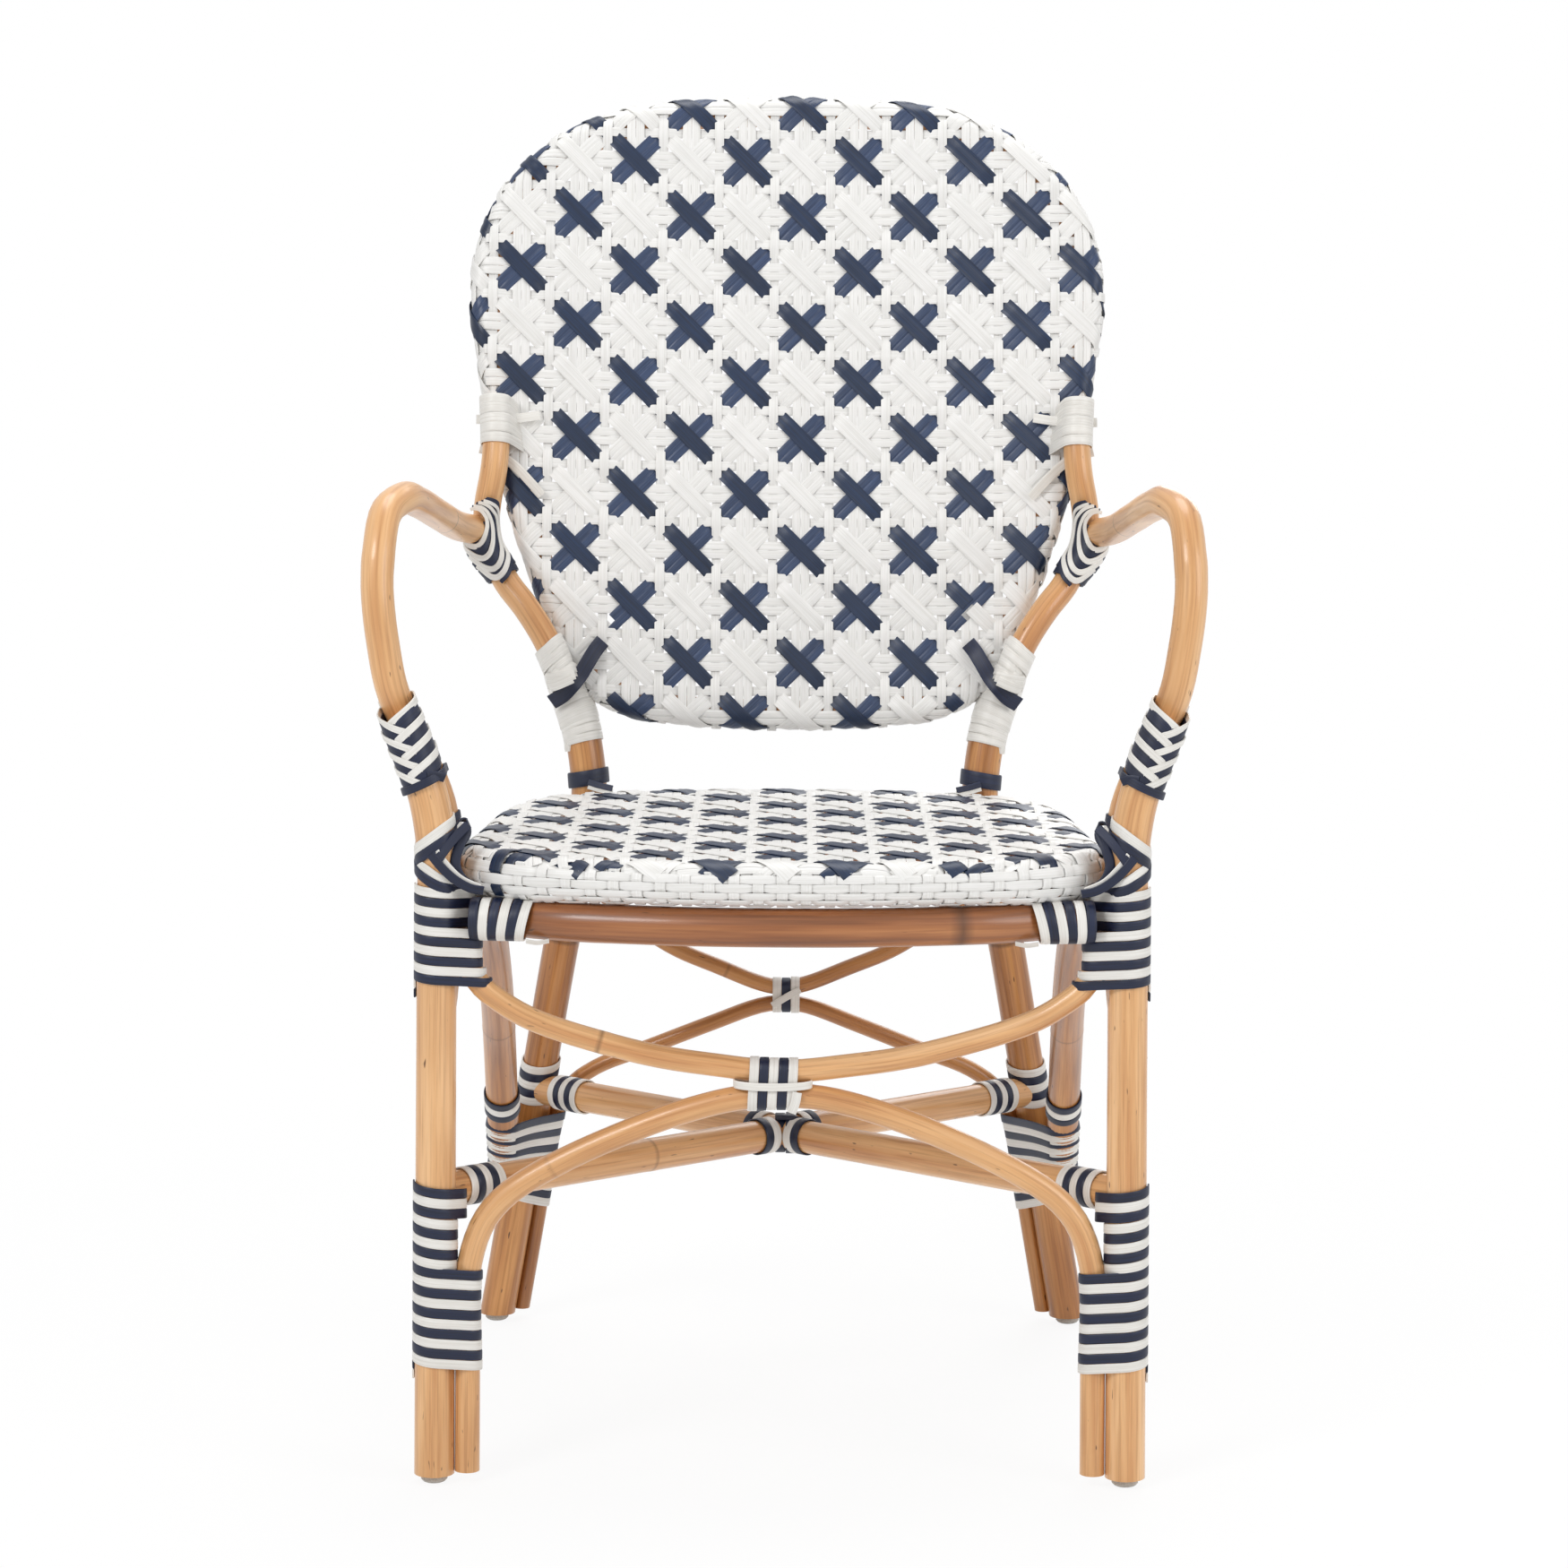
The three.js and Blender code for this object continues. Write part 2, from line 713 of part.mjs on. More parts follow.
function windingTrack(circlesAt, top, pitch, turns) {
  const stand = stripStand + stripDepth / 2;
  const track = [];
  for (let turn = 0; turn < turns; turn += 1) {
    tautLoop(circlesAt(top - pitch * turn, pitch), stand).forEach((spot) => {
      track.push({ spot, height: top - pitch * (turn + (spot.angle - Math.PI) / (2 * Math.PI)) });
    });
  }
  const end = top - pitch * turns;
  track.push({ spot: tautLoop(circlesAt(end, pitch), stand)[0], height: end });
  return track;
}

function woundStrip(track) {
  const rings = track.map(({ spot, height }) => stripSection(spot, height));
  const straight = (ring, ahead) => {
    const along = ring[0].clone().sub(ahead[0]).setZ(0).normalize().multiplyScalar(stripDepth);
    return ring.map((point) => point.clone().add(along));
  };
  const last = rings.length - 1;
  return lofted([straight(rings[0], rings[1]), ...rings, straight(rings[last], rings[last - 1])], false);
}

// The least clear height between loops that pass one above the other
function leastGap(track, other) {
  let least = Infinity;
  track.forEach((one) => other.forEach((two) => {
    const near = Math.hypot(one.spot.x - two.spot.x, one.spot.y - two.spot.y) < stripWidth / 2;
    const apart = Math.abs(one.height - two.height);
    if (near && apart > stripWidth / 2) least = Math.min(least, apart - stripWidth);
  }));
  return least;
}

// A turn starts on the outer side and passes the inner side after half of its drop
function lowerCircles(start, pitch) {
  const leg = slice(frontLeg, start);
  const inner = start - pitch / 2;
  if (inner > lowerBindingSplit) return [leg];
  return [leg, slice(frontLowerBrace, inner, 0, 1 / 2)];
}

function upperCircles(start, pitch) {
  const rear = start - pitch * 3 / 4;
  const circles = [slice(frontLeg, start), slice(arm, rear, 1 / 2, 1)];
  const inner = start - pitch / 2;
  if (inner > upperBraceTop + stripWidth) return circles;
  return [...circles, slice(frontUpperBrace, inner, 0, 1 / 2)];
}

function bindingPair(circlesAt, top, pitch, turns, label) {
  const navy = windingTrack(circlesAt, top, pitch, turns);
  const white = windingTrack(circlesAt, top - pitch / 2, pitch, turns);
  const toSelf = leastGap(navy, navy).toFixed(2);
  const toOther = leastGap(navy, white).toFixed(2);
  console.log(`${label}: least gap of a strip to itself ${toSelf} mm, to the other strip ${toOther} mm`);
  return { navy: woundStrip(navy), white: woundStrip(white) };
}

// Sleeves: a taut band round a bundle of poles, open at its ends

const skinPoints = 8;
const endRun = 4;
const tieEndRun = 2;

function roundSpot(middle, side, front, reach) {
  const ring = [];
  for (let i = 0; i < skinPoints; i += 1) {
    const angle = (i / skinPoints) * 2 * Math.PI;
    const point = middle.clone().addScaledVector(side, reach * Math.cos(angle));
    ring.push(point.addScaledVector(front, reach * Math.sin(angle)));
  }
  return ring;
}

function ringOn(one, share, depth) {
  const along = one.curve.getTangent(share);
  const side = at(0, 1, 0).cross(along).normalize();
  const reach = (one.radius + gap) / Math.cos(Math.PI / skinPoints) + depth;
  return roundSpot(one.curve.getPoint(share), side, along.clone().cross(side), reach);
}

// The rings of a pole between two places along it, with all its own rings between them
function run(one, fromShare, toShare) {
  return (depth, extra) => {
    const more = extra / one.curve.getLength();
    const from = fromShare > 0 ? Math.max(fromShare - more, 0) : 0;
    const to = toShare < 1 ? Math.min(toShare + more, 1) : 1;
    const rings = [ringOn(one, from, depth)];
    for (let i = 1; i < one.steps; i += 1) {
      if (i / one.steps > from && i / one.steps < to) rings.push(ringOn(one, i / one.steps, depth));
    }
    return [...rings, ringOn(one, to, depth)];
  };
}

function runOfHeights(one, heightA, heightB, fromShare, toShare) {
  const shares = [heightA, heightB].map((height) => placeAtHeight(one.curve, height, fromShare, toShare));
  return run(one, Math.min(...shares), Math.max(...shares));
}

function runRound(one, distance, reach) {
  return run(one, placeAlong(one.curve, distance - reach), placeAlong(one.curve, distance + reach));
}

function hull(runs, depth, extra) {
  return solidOf(new ConvexGeometry(runs.flatMap((rings) => rings(depth, extra)).flat()));
}

function sleeve(runs, depth, cutters = [], openRun = endRun) {
  return cut(hull(runs, depth, 0), [hull(runs, 0, openRun), ...cutters]);
}

function armWrap() {
  const legEnd = placeAtHeight(frontLeg.curve, armWrapBottom);
  const runs = [runOfHeights(arm, armWrapTop, armWrapBottom, 0.4, 1), run(frontLeg, legEnd, 1)];
  return sleeve(runs, sleeveDepth);
}

function armJoint() {
  const armEnd = placeAlong(arm.curve, jointReach);
  const runs = [runOfHeights(outerPost, jointTop, jointBottom), run(arm, 0, armEnd)];
  return sleeve(runs, sleeveDepth, [backRoom]);
}

function shoulderWrap() {
  const legStart = placeAtHeight(rearLeg.curve, shoulderBottom, 1 / 2, 1);
  const postEnd = placeAtHeight(outerPost.curve, shoulderTop);
  return sleeve([run(rearLeg, legStart, 1), run(outerPost, 0, postEnd)], sleeveDepth, [backRoom]);
}

function upperWrap() {
  const rim = (depth) => [upperWrapLow, upperWrapHigh].map((share) => rimRing(share, depth));
  const runs = [run(outerPost, placeAtHeight(outerPost.curve, upperWrapBottom), 1), rim];
  return cut(hull(runs, sleeveDepth, 0), [outerPost.body(gap), backRoom]);
}

function rimRing(upShare, depth) {
  const across = backOutlineAt(upShare) - hoopRadius - gap - weaveDepth;
  const reach = (hoopRadius + weaveDepth + 2 * gap) / Math.cos(Math.PI / skinPoints) + depth;
  const ring = [];
  for (let i = 0; i < skinPoints; i += 1) {
    const angle = (i / skinPoints) * 2 * Math.PI;
    ring.push(onBack(-across - reach * Math.cos(angle), upShare * backRise, reach * Math.sin(angle)));
  }
  return ring;
}

function backOutlineAt(upShare) {
  const next = backOutlineShares.findIndex(([, up]) => up > upShare);
  const [acrossA, upA] = backOutlineShares[next - 1];
  const [acrossB, upB] = backOutlineShares[next];
  return backHalfWidth * (acrossA + ((acrossB - acrossA) * (upShare - upA)) / (upB - upA));
}

function postCollar() {
  const band = runOfHeights(rearLeg, postCollarBottom, postCollarTop, 1 / 2, 1);
  return sleeve([band], collarDepth, [seatRoom]);
}

function rearBinding() {
  const runs = [
    runOfHeights(rearLeg, rearBindingBottom, rearBindingTop, 0, 1 / 2),
    runOfHeights(rearLowerBrace, rearBindingBottom, rearBindingTop, 0, 1 / 3),
    run(sideBrace, placeAtHeight(sideBrace.curve, rearBindingBrace), 1),
  ];
  return sleeve(runs, sleeveDepth);
}

function stretcherCollar(one, distance) {
  const middle = distance > 0 ? distance : one.curve.getLength() + distance;
  return sleeve([runRound(one, middle, collarLength / 2)], collarDepth);
}

function middleTie(upper, lower) {
  const runs = [upper, lower].map((one) => runRound(one, one.curve.getLength() / 2, tieHalfWidth));
  return sleeve(runs, sleeveDepth, [], tieEndRun);
}

function crossBinding() {
  const runs = [stretcherA, stretcherB].map((one) =>
    runRound(one, one.curve.getPoint(0).distanceTo(crossing), tieHalfWidth));
  return cut(hull(runs, sleeveDepth, 0), [stretcherA.body(gap), stretcherB.body(gap)]);
}

function sideTie() {
  const band = runOfHeights(arm, sideTieBottom, sideTieTop, 1 / 2, 1);
  return sleeve([band], sleeveDepth, [seatRoom, frontLeg.body(gap)]);
}

function cornerTie() {
  const runs = [
    runOfHeights(frontLeg, cornerTieBottom, cornerTieTop),
    runOfHeights(arm, cornerTieBottom, cornerTieTop, 1 / 2, 1),
  ];
  return sleeve(runs, sleeveDepth, [seatRoom]);
}

// The rail binding hugs the front run of the rail between two places across the chair
function railRun() {
  return (depth) => {
    const reach = (railRadius + gap) / Math.cos(Math.PI / skinPoints) + depth;
    return railShares.map((share) => {
      const along = seatCurve.getTangent(share).normalize();
      const outward = at(along.y, -along.x, 0);
      const middle = seatCurve.getPoint(share).addScaledVector(outward, -seatRim).setZ(railHeight);
      return roundSpot(middle, outward, at(0, 0, 1), reach);
    });
  };
}

function railBinding() {
  return cut(hull([railRun()], sleeveDepth, 0), [railBody(gap), seatRoom, sideBrace.body(gap)]);
}

// The chair

const chair = new THREE.Group();

function add(name, finish, geometry) {
  const mesh = new THREE.Mesh(geometry, new THREE.MeshStandardMaterial(finish));
  mesh.name = name;
  chair.add(mesh);
  return mesh;
}

function addPair(name, finish, geometry) {
  add(`${name}_left`, finish, geometry);
  add(`${name}_right`, finish, mirrored(geometry));
}

const footPlane = halfSpace(glideHeight, false);
const bracePlane = halfSpace(braceFootHeight, false);

addPair('front_leg', honeyRattan, geometryOf(cut(frontLeg.body(0), [footPlane, arm.body(gap)])));
const rearLegCutters = [footPlane, backRoom, outerPost.body(gap)];
addPair('rear_leg', darkRattan, geometryOf(cut(rearLeg.body(0), rearLegCutters)));
addPair('outer_post', honeyRattan, geometryOf(cut(outerPost.body(0), [backRoom])));
addPair('arm', honeyRattan, geometryOf(cut(arm.body(0), [outerPost.body(gap)])));

const hoopInset = hoopRadius + gap + weaveDepth;
add('back_hoop', honeyRattan, ringPole(backStations, hoopInset, hoopRadius, 0, thinPoleSides, onBack));
add('back_weave', whiteStrand, wovenPanel(backStations, hoopRadius, backSheetShares, onBack));
add('seat_ring', darkRattan, ringPole(seatStations, seatRim, seatRingRadius, 0, thinPoleSides, onSeat));
add('seat_weave', whiteStrand, wovenPanel(seatStations, seatRingRadius, [], onSeat));
add('seat_rail', darkRattan, geometryOf(railBody(0)));

add('front_upper_brace', honeyRattan, geometryOf(cut(frontUpperBrace.body(0), [railBody(gap)])));
add('front_lower_brace', honeyRattan, geometryOf(cut(frontLowerBrace.body(0), [bracePlane])));
add('rear_upper_brace', darkRattan, geometryOf(rearUpperBrace.body(0)));
add('rear_lower_brace', darkRattan, geometryOf(cut(rearLowerBrace.body(0), [footPlane])));
addPair('side_brace', honeyRattan, geometryOf(cut(sideBrace.body(0), [railBody(gap), rearLeg.body(gap)])));

const lapLow = halfSpace(crossing.z + gap / 2, false);
const lapHigh = halfSpace(crossing.z - gap / 2, true);
const legCutters = [frontLeg.body(gap), rearLeg.body(gap)];
legCutters.push(...legCutters.map((solid) => solidOf(mirrored(geometryOf(solid)))));
add('stretcher_lower_lap', honeyRattan,
  geometryOf(cut(stretcherA.body(0), [...legCutters, stretcherB.body(gap).intersect(lapHigh)])));
add('stretcher_upper_lap', honeyRattan,
  geometryOf(cut(stretcherB.body(0), [...legCutters, stretcherA.body(gap).intersect(lapLow)])));

addPair('front_glide', paleGlide, geometryOf(glide()));
addPair('rear_glide', paleGlide, geometryOf(glide()));

const lowerBinding = bindingPair(
  lowerCircles, lowerBindingTop, lowerBindingPitch, lowerBindingTurns, 'lower leg binding');
addPair('lower_binding_navy', navyStrand, lowerBinding.navy);
addPair('lower_binding_white', whiteStrand, lowerBinding.white);
const upperBinding = bindingPair(
  upperCircles, upperBindingTop, upperBindingPitch, upperBindingTurns, 'upper leg binding');
addPair('upper_binding_navy', navyStrand, upperBinding.navy);
addPair('upper_binding_white', whiteStrand, upperBinding.white);

addPair('arm_wrap', whiteStrand, geometryOf(armWrap()));
addPair('arm_joint_wrap', whiteStrand, geometryOf(armJoint()));
addPair('shoulder_wrap', whiteStrand, geometryOf(shoulderWrap()));
addPair('upper_post_wrap', whiteStrand, geometryOf(upperWrap()));
addPair('post_collar', navyStrand, geometryOf(postCollar()));
addPair('rear_binding', navyStrand, geometryOf(rearBinding()));
add('stretcher_collar_front_left', navyStrand, geometryOf(stretcherCollar(stretcherA, collarFront)));
add('stretcher_collar_rear_right', navyStrand, geometryOf(stretcherCollar(stretcherA, -collarRear)));
add('stretcher_collar_front_right', navyStrand, geometryOf(stretcherCollar(stretcherB, collarFront)));
add('stretcher_collar_rear_left', navyStrand, geometryOf(stretcherCollar(stretcherB, -collarRear)));
add('front_tie', whiteStrand, geometryOf(middleTie(frontUpperBrace, frontLowerBrace)));
add('rear_tie', whiteStrand, geometryOf(middleTie(rearUpperBrace, rearLowerBrace)));
add('cross_binding', navyStrand, geometryOf(crossBinding()));
addPair('rail_binding', navyStrand, geometryOf(railBinding()));
addPair('corner_tie', navyStrand, geometryOf(cornerTie()));
addPair('side_tie', navyStrand, geometryOf(sideTie()));

// The glides sit under their legs, and the chair stands over the middle of its own box

function placeGlides() {
  const rearSole = onRearLeg(glideHeight / 2);
  const spots = {
    front_glide_left: [legX, 0],
    front_glide_right: [-legX, 0],
    rear_glide_left: [rearSole.x, rearSole.y],
    rear_glide_right: [-rearSole.x, rearSole.y],
  };
  Object.entries(spots).forEach(([name, [x, y]]) => chair.getObjectByName(name).position.set(x, y, 0));
}

placeGlides();
chair.updateMatrixWorld(true);
const box = new THREE.Box3().setFromObject(chair, true);
chair.position.y = -(box.min.y + box.max.y) / 2;

export default chair;
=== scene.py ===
# %% [markdown]
# # A rattan bistro armchair, dressed
# The real chair is made of peeled and lacquered rattan poles, a seat and a back woven from flat
# strands, and joints wound with navy and white strips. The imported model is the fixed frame: every
# pole keeps the place that it has there. Here each piece gets its fine shape and its finish. All
# tables are in millimetres, with Y measured from the plane of the front legs. A name that ends in
# _run is the middle line of a pole, and shares are parts of a width, a depth or a height.

# %% Load the frame
import math
import bpy
import bmesh
import numpy as np
from mathutils import Euler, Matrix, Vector


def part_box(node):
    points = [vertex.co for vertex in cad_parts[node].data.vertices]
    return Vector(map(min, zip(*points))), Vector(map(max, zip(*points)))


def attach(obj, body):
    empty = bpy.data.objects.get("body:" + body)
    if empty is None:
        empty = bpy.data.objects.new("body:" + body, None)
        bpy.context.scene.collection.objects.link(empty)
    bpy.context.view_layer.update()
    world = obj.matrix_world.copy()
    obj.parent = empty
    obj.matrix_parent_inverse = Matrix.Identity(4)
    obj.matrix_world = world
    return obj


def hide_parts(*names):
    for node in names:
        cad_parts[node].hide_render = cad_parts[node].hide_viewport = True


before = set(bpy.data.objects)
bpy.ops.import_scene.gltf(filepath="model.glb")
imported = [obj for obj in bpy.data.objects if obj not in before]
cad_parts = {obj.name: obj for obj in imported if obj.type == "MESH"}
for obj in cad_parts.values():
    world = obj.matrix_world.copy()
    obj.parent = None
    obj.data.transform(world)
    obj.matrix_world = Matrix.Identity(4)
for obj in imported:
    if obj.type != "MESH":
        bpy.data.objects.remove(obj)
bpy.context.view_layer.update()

MM = 0.001
glide_low, glide_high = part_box("front_glide_left")
leg_plane = (glide_low[1] + glide_high[1]) / 2
print("front legs stand at Y", round(leg_plane, 5), "m")


def placed(points):
    """Table points in millimetres, as points of the shared frame in metres."""
    return np.asarray(points, float) * MM + np.array([0, leg_plane, 0])


# %% [markdown]
# ## Camera
# The photograph is taken from straight ahead, a little above the arms, with a long lens. The
# distance and the tilt come from the spacing of the four feet and from the ellipse of the seat.

# %% Camera
PHOTO_SIZE, AXIS_COLUMN = 1750, 874     # pixels; the lens looks along this column of the photograph
FOCAL_PIXELS, SENSOR_WIDTH = 4600, 36
CAMERA_PLACE = (9, -2811.2, 828.3)
CAMERA_TILT, CAMERA_YAW, CAMERA_ROLL = math.radians(6.794), math.radians(0.183), math.radians(0.3)
camera_data = bpy.data.cameras.new("camera")
camera_data.sensor_width = SENSOR_WIDTH
camera_data.lens = FOCAL_PIXELS / PHOTO_SIZE * camera_data.sensor_width
camera_data.shift_x = (PHOTO_SIZE / 2 - AXIS_COLUMN) / PHOTO_SIZE
camera = bpy.data.objects.new("camera", camera_data)
bpy.context.collection.objects.link(camera)
camera.location = placed([CAMERA_PLACE])[0]
aimed = Euler((math.pi / 2 - CAMERA_TILT, 0, CAMERA_YAW)).to_matrix()
camera.rotation_euler = (aimed @ Euler((0, 0, CAMERA_ROLL)).to_matrix()).to_euler()
bpy.context.scene.camera = camera
print("camera at", [round(v, 3) for v in camera.location], "lens", round(camera_data.lens, 1))

# %% [markdown]
# ## Floor and light
# The photograph has a plain white ground. The floor is white to the camera and keeps a soft shadow.
# Large soft lamps from the front, the left and above light the chair at a plain level, so that each
# colour shows as it is.

# %% Floor
def plain_nodes(name):
    material = bpy.data.materials.new(name)
    material.use_nodes = True
    tree = material.node_tree
    tree.nodes.clear()
    return material, tree


def add_node(tree, kind, **settings):
    node = tree.nodes.new(kind)
    for key, value in settings.items():
        if key in node.inputs:
            node.inputs[key].default_value = value
        else:
            setattr(node, key, value)
    return node


def greater(tree, first, second):
    node = add_node(tree, "ShaderNodeMath", operation="MAXIMUM")
    tree.links.new(first, node.inputs[0])
    tree.links.new(second, node.inputs[1])
    return node.outputs[0]


def mixed(tree, share, first, second):
    node = add_node(tree, "ShaderNodeMixShader")
    for socket, source in zip(node.inputs, (share, first, second)):
        tree.links.new(source, socket)
    return node.outputs[0]


def to_all_lenses(tree, white, other):
    """White light for rays of the camera and of reflections, the other shader for the rest."""
    path = add_node(tree, "ShaderNodeLightPath").outputs
    seen = greater(tree, path["Is Camera Ray"], path["Is Glossy Ray"])
    return mixed(tree, greater(tree, seen, path["Is Transmission Ray"]), other, white)


FLOOR_RADIUS, FLOOR_LEVEL = 6, -0.0004      # metres; it lies a hair under the feet
GLOW_NEAR, GLOW_FAR = 0.45, 1.3             # metres out, where the floor turns plain white
LEAST_GLOW = 0.9
bpy.ops.object.select_all(action="DESELECT")
bpy.ops.mesh.primitive_circle_add(vertices=64, radius=FLOOR_RADIUS, fill_type="NGON",
                                  location=(0, 0, FLOOR_LEVEL))
floor = bpy.context.active_object
floor.name = "floor"
floor_white, tree = plain_nodes("floor_white")
diffuse = add_node(tree, "ShaderNodeBsdfDiffuse", Color=(1, 1, 1, 1))
glow = add_node(tree, "ShaderNodeEmission", Strength=1.0)
place = add_node(tree, "ShaderNodeTexCoord")
away = add_node(tree, "ShaderNodeVectorMath", operation="LENGTH")
tree.links.new(place.outputs["Object"], away.inputs[0])
fade = add_node(tree, "ShaderNodeMapRange")
for socket, value in (("From Min", GLOW_NEAR), ("From Max", GLOW_FAR), ("To Min", LEAST_GLOW),
                      ("To Max", 1.0)):
    fade.inputs[socket].default_value = value
tree.links.new(away.outputs["Value"], fade.inputs["Value"])
part_glow = mixed(tree, fade.outputs[0], diffuse.outputs[0], glow.outputs[0])
out = add_node(tree, "ShaderNodeOutputMaterial")
tree.links.new(to_all_lenses(tree, part_glow, diffuse.outputs[0]), out.inputs[0])
floor.data.materials.append(floor_white)
print("floor", FLOOR_RADIUS, "m wide to each side")
# %% World and lamps
ROOM_LIGHT = 0.42
world = bpy.data.worlds.new("studio")
bpy.context.scene.world = world
world.use_nodes = True
tree = world.node_tree
tree.nodes.clear()
white = add_node(tree, "ShaderNodeBackground", Color=(1, 1, 1, 1), Strength=1.0)
room = add_node(tree, "ShaderNodeBackground", Color=(1, 1, 1, 1), Strength=ROOM_LIGHT)
out = add_node(tree, "ShaderNodeOutputWorld")
tree.links.new(to_all_lenses(tree, white.outputs[0], room.outputs[0]), out.inputs[0])


def lamp(name, place, aim_height, size, power):
    """A round soft lamp, aimed at the chair's middle line. Metres and watts."""
    data = bpy.data.lights.new(name, "AREA")
    data.shape = "DISK"
    data.size = size
    data.energy = power
    lamp_object = bpy.data.objects.new(name, data)
    bpy.context.collection.objects.link(lamp_object)
    lamp_object.location = place
    direction = np.array((0, 0, aim_height)) - np.array(place)
    lamp_object.rotation_euler = Vector(direction).to_track_quat("-Z", "Y").to_euler()


lamp("key_lamp", (-1.6, -2.3, 2.3), 0.45, 1.1, 36)
lamp("fill_lamp", (2.1, -1.7, 1.5), 0.45, 1.5, 19)
lamp("top_lamp", (0.1, 0.4, 2.9), 0.4, 1.6, 26)
lamp("rear_lamp", (0.9, 2.3, 1.7), 0.5, 1.6, 16)
bpy.context.scene.view_settings.view_transform = "Standard"
print("lamps", len(bpy.data.lights))
# %% [markdown]
# ## Lacquered rattan
# Peeled rattan shows fine brown fibres along the pole, small dark specks, darker rings at the nodes
# and a satin lacquer. The grain has to follow each bend, so every pole carries a "grain" attribute:
# the place of each point on the straight pole, before it was bent. Noise that is squeezed across
# and stretched along it makes the fibres.

# %% Rattan finish
BLACK, WHITE = (0, 0, 0, 1), (1, 1, 1, 1)


def grey(tone):
    return tone, tone, tone, 1


def darker(colour, share):
    return tuple(value * share for value in colour[:3]) + (1,)


def linear(red, green, blue):
    """A colour of the photograph, 0 to 255, as linear light."""
    def one(value):
        value /= 255
        return value / 12.92 if value <= 0.04045 else ((value + 0.055) / 1.055) ** 2.4
    return one(red), one(green), one(blue), 1


def ramp(tree, value, stops):
    node = add_node(tree, "ShaderNodeValToRGB")
    while len(node.color_ramp.elements) < len(stops):
        node.color_ramp.elements.new(0.5)
    for element, (place, colour) in zip(node.color_ramp.elements, stops):
        element.position = place
        element.color = colour
    tree.links.new(value, node.inputs[0])
    return node.outputs[0]


def blend_colour(tree, mode, factor, first, second):
    node = add_node(tree, "ShaderNodeMix", data_type="RGBA", blend_type=mode)
    for socket, value in ((node.inputs[0], factor), (node.inputs[6], first),
                          (node.inputs[7], second)):
        if isinstance(value, (int, float, tuple)):
            socket.default_value = value
        else:
            tree.links.new(value, socket)
    return node.outputs[2]


def stretched_noise(tree, vector, scale, size, detail, shift=(0, 0, 0)):
    mapping = add_node(tree, "ShaderNodeMapping")
    mapping.inputs["Scale"].default_value = scale
    mapping.inputs["Location"].default_value = shift
    tree.links.new(vector, mapping.inputs["Vector"])
    noise = add_node(tree, "ShaderNodeTexNoise", Scale=size, Detail=detail, Roughness=0.6)
    tree.links.new(mapping.outputs[0], noise.inputs["Vector"])
    return noise.outputs[0]


def finish_surface(tree, body, relief, strength, depth, **settings):
    """Gives a material its shader, with a colour and a fine relief, and its output."""
    shader = add_node(tree, "ShaderNodeBsdfPrincipled", **settings)
    bump = add_node(tree, "ShaderNodeBump", Strength=strength, Distance=depth)
    out = add_node(tree, "ShaderNodeOutputMaterial")
    for source, socket in ((body, shader.inputs["Base Color"]), (relief, bump.inputs["Height"]),
                           (bump.outputs[0], shader.inputs["Normal"]),
                           (shader.outputs[0], out.inputs[0])):
        tree.links.new(source, socket)
    return shader


def vary_shine(tree, shader, cloud, least_rough, most_rough):
    spread = add_node(tree, "ShaderNodeMapRange")
    spread.inputs["To Min"].default_value = least_rough
    spread.inputs["To Max"].default_value = most_rough
    tree.links.new(cloud, spread.inputs["Value"])
    tree.links.new(spread.outputs[0], shader.inputs["Roughness"])


def rattan(name, pale, middle, deep, shift):
    material, tree = plain_nodes(name)
    attribute = add_node(tree, "ShaderNodeAttribute", attribute_name="grain")
    along = attribute.outputs["Vector"]
    knuckle = add_node(tree, "ShaderNodeAttribute", attribute_name="knuckle")
    fibre = stretched_noise(tree, along, (1, 1, 0.022), 520, 4, shift)
    streak = stretched_noise(tree, along, (1, 1, 0.05), 90, 3, shift)
    patch = stretched_noise(tree, along, (1, 1, 0.5), 14, 2, shift)
    speck = stretched_noise(tree, along, (1, 1, 0.22), 330, 1, shift)
    body = ramp(tree, streak, [(0.3, deep), (0.5, middle), (0.7, pale)])
    thread = ramp(tree, fibre, [(0.34, (0.62, 0.52, 0.44, 1)), (0.52, WHITE)])
    body = blend_colour(tree, "MULTIPLY", 0.55, body, thread)
    shade = ramp(tree, patch, [(0.32, (0.80, 0.72, 0.64, 1)), (0.62, WHITE)])
    body = blend_colour(tree, "MULTIPLY", 0.7, body, shade)
    dots = ramp(tree, speck, [(0.735, BLACK), (0.79, WHITE)])
    body = blend_colour(tree, "MIX", dots, body, darker(deep, 0.32))
    node_ring = ramp(tree, knuckle.outputs["Fac"], [(0.35, BLACK), (0.95, grey(0.75))])
    body = blend_colour(tree, "MIX", node_ring, body, darker(deep, 0.42))
    shader = finish_surface(tree, body, fibre, 0.22, 0.0006)
    vary_shine(tree, shader, streak, 0.26, 0.46)
    shader.inputs["Coat Weight"].default_value = 0.35
    shader.inputs["Coat Roughness"].default_value = 0.16
    return material
honey = rattan("honey_rattan", linear(246, 200, 148), linear(231, 179, 123), linear(207, 147, 92),
               (0, 0, 0))
amber = rattan("amber_rattan", linear(219, 160, 97), linear(192, 130, 70), linear(150, 95, 47),
               (3, 1, 2))
# The rail's finish: its own deeper orange-brown, made darker still as painted shade of the seat
# over it.
rail_russet_and_shade = rattan("russet_rattan_and_seat_shade", linear(186, 124, 74), linear(160, 99, 54), linear(122, 72, 37),
                (5, 2, 1))
print("rattan finishes ready")

# %% [markdown]
# ## Poles
# A rattan pole is a straight cane that is steamed and bent. It is made the same way here: a
# straight cylinder gets rings along its length, small swellings at the nodes and softened ends,
# then a Curve modifier bends it along its run and is applied. The run is a smooth curve through the
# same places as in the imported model.

# %% Smooth runs
SPLINE_STEPS = 14       # places from one given point to the next


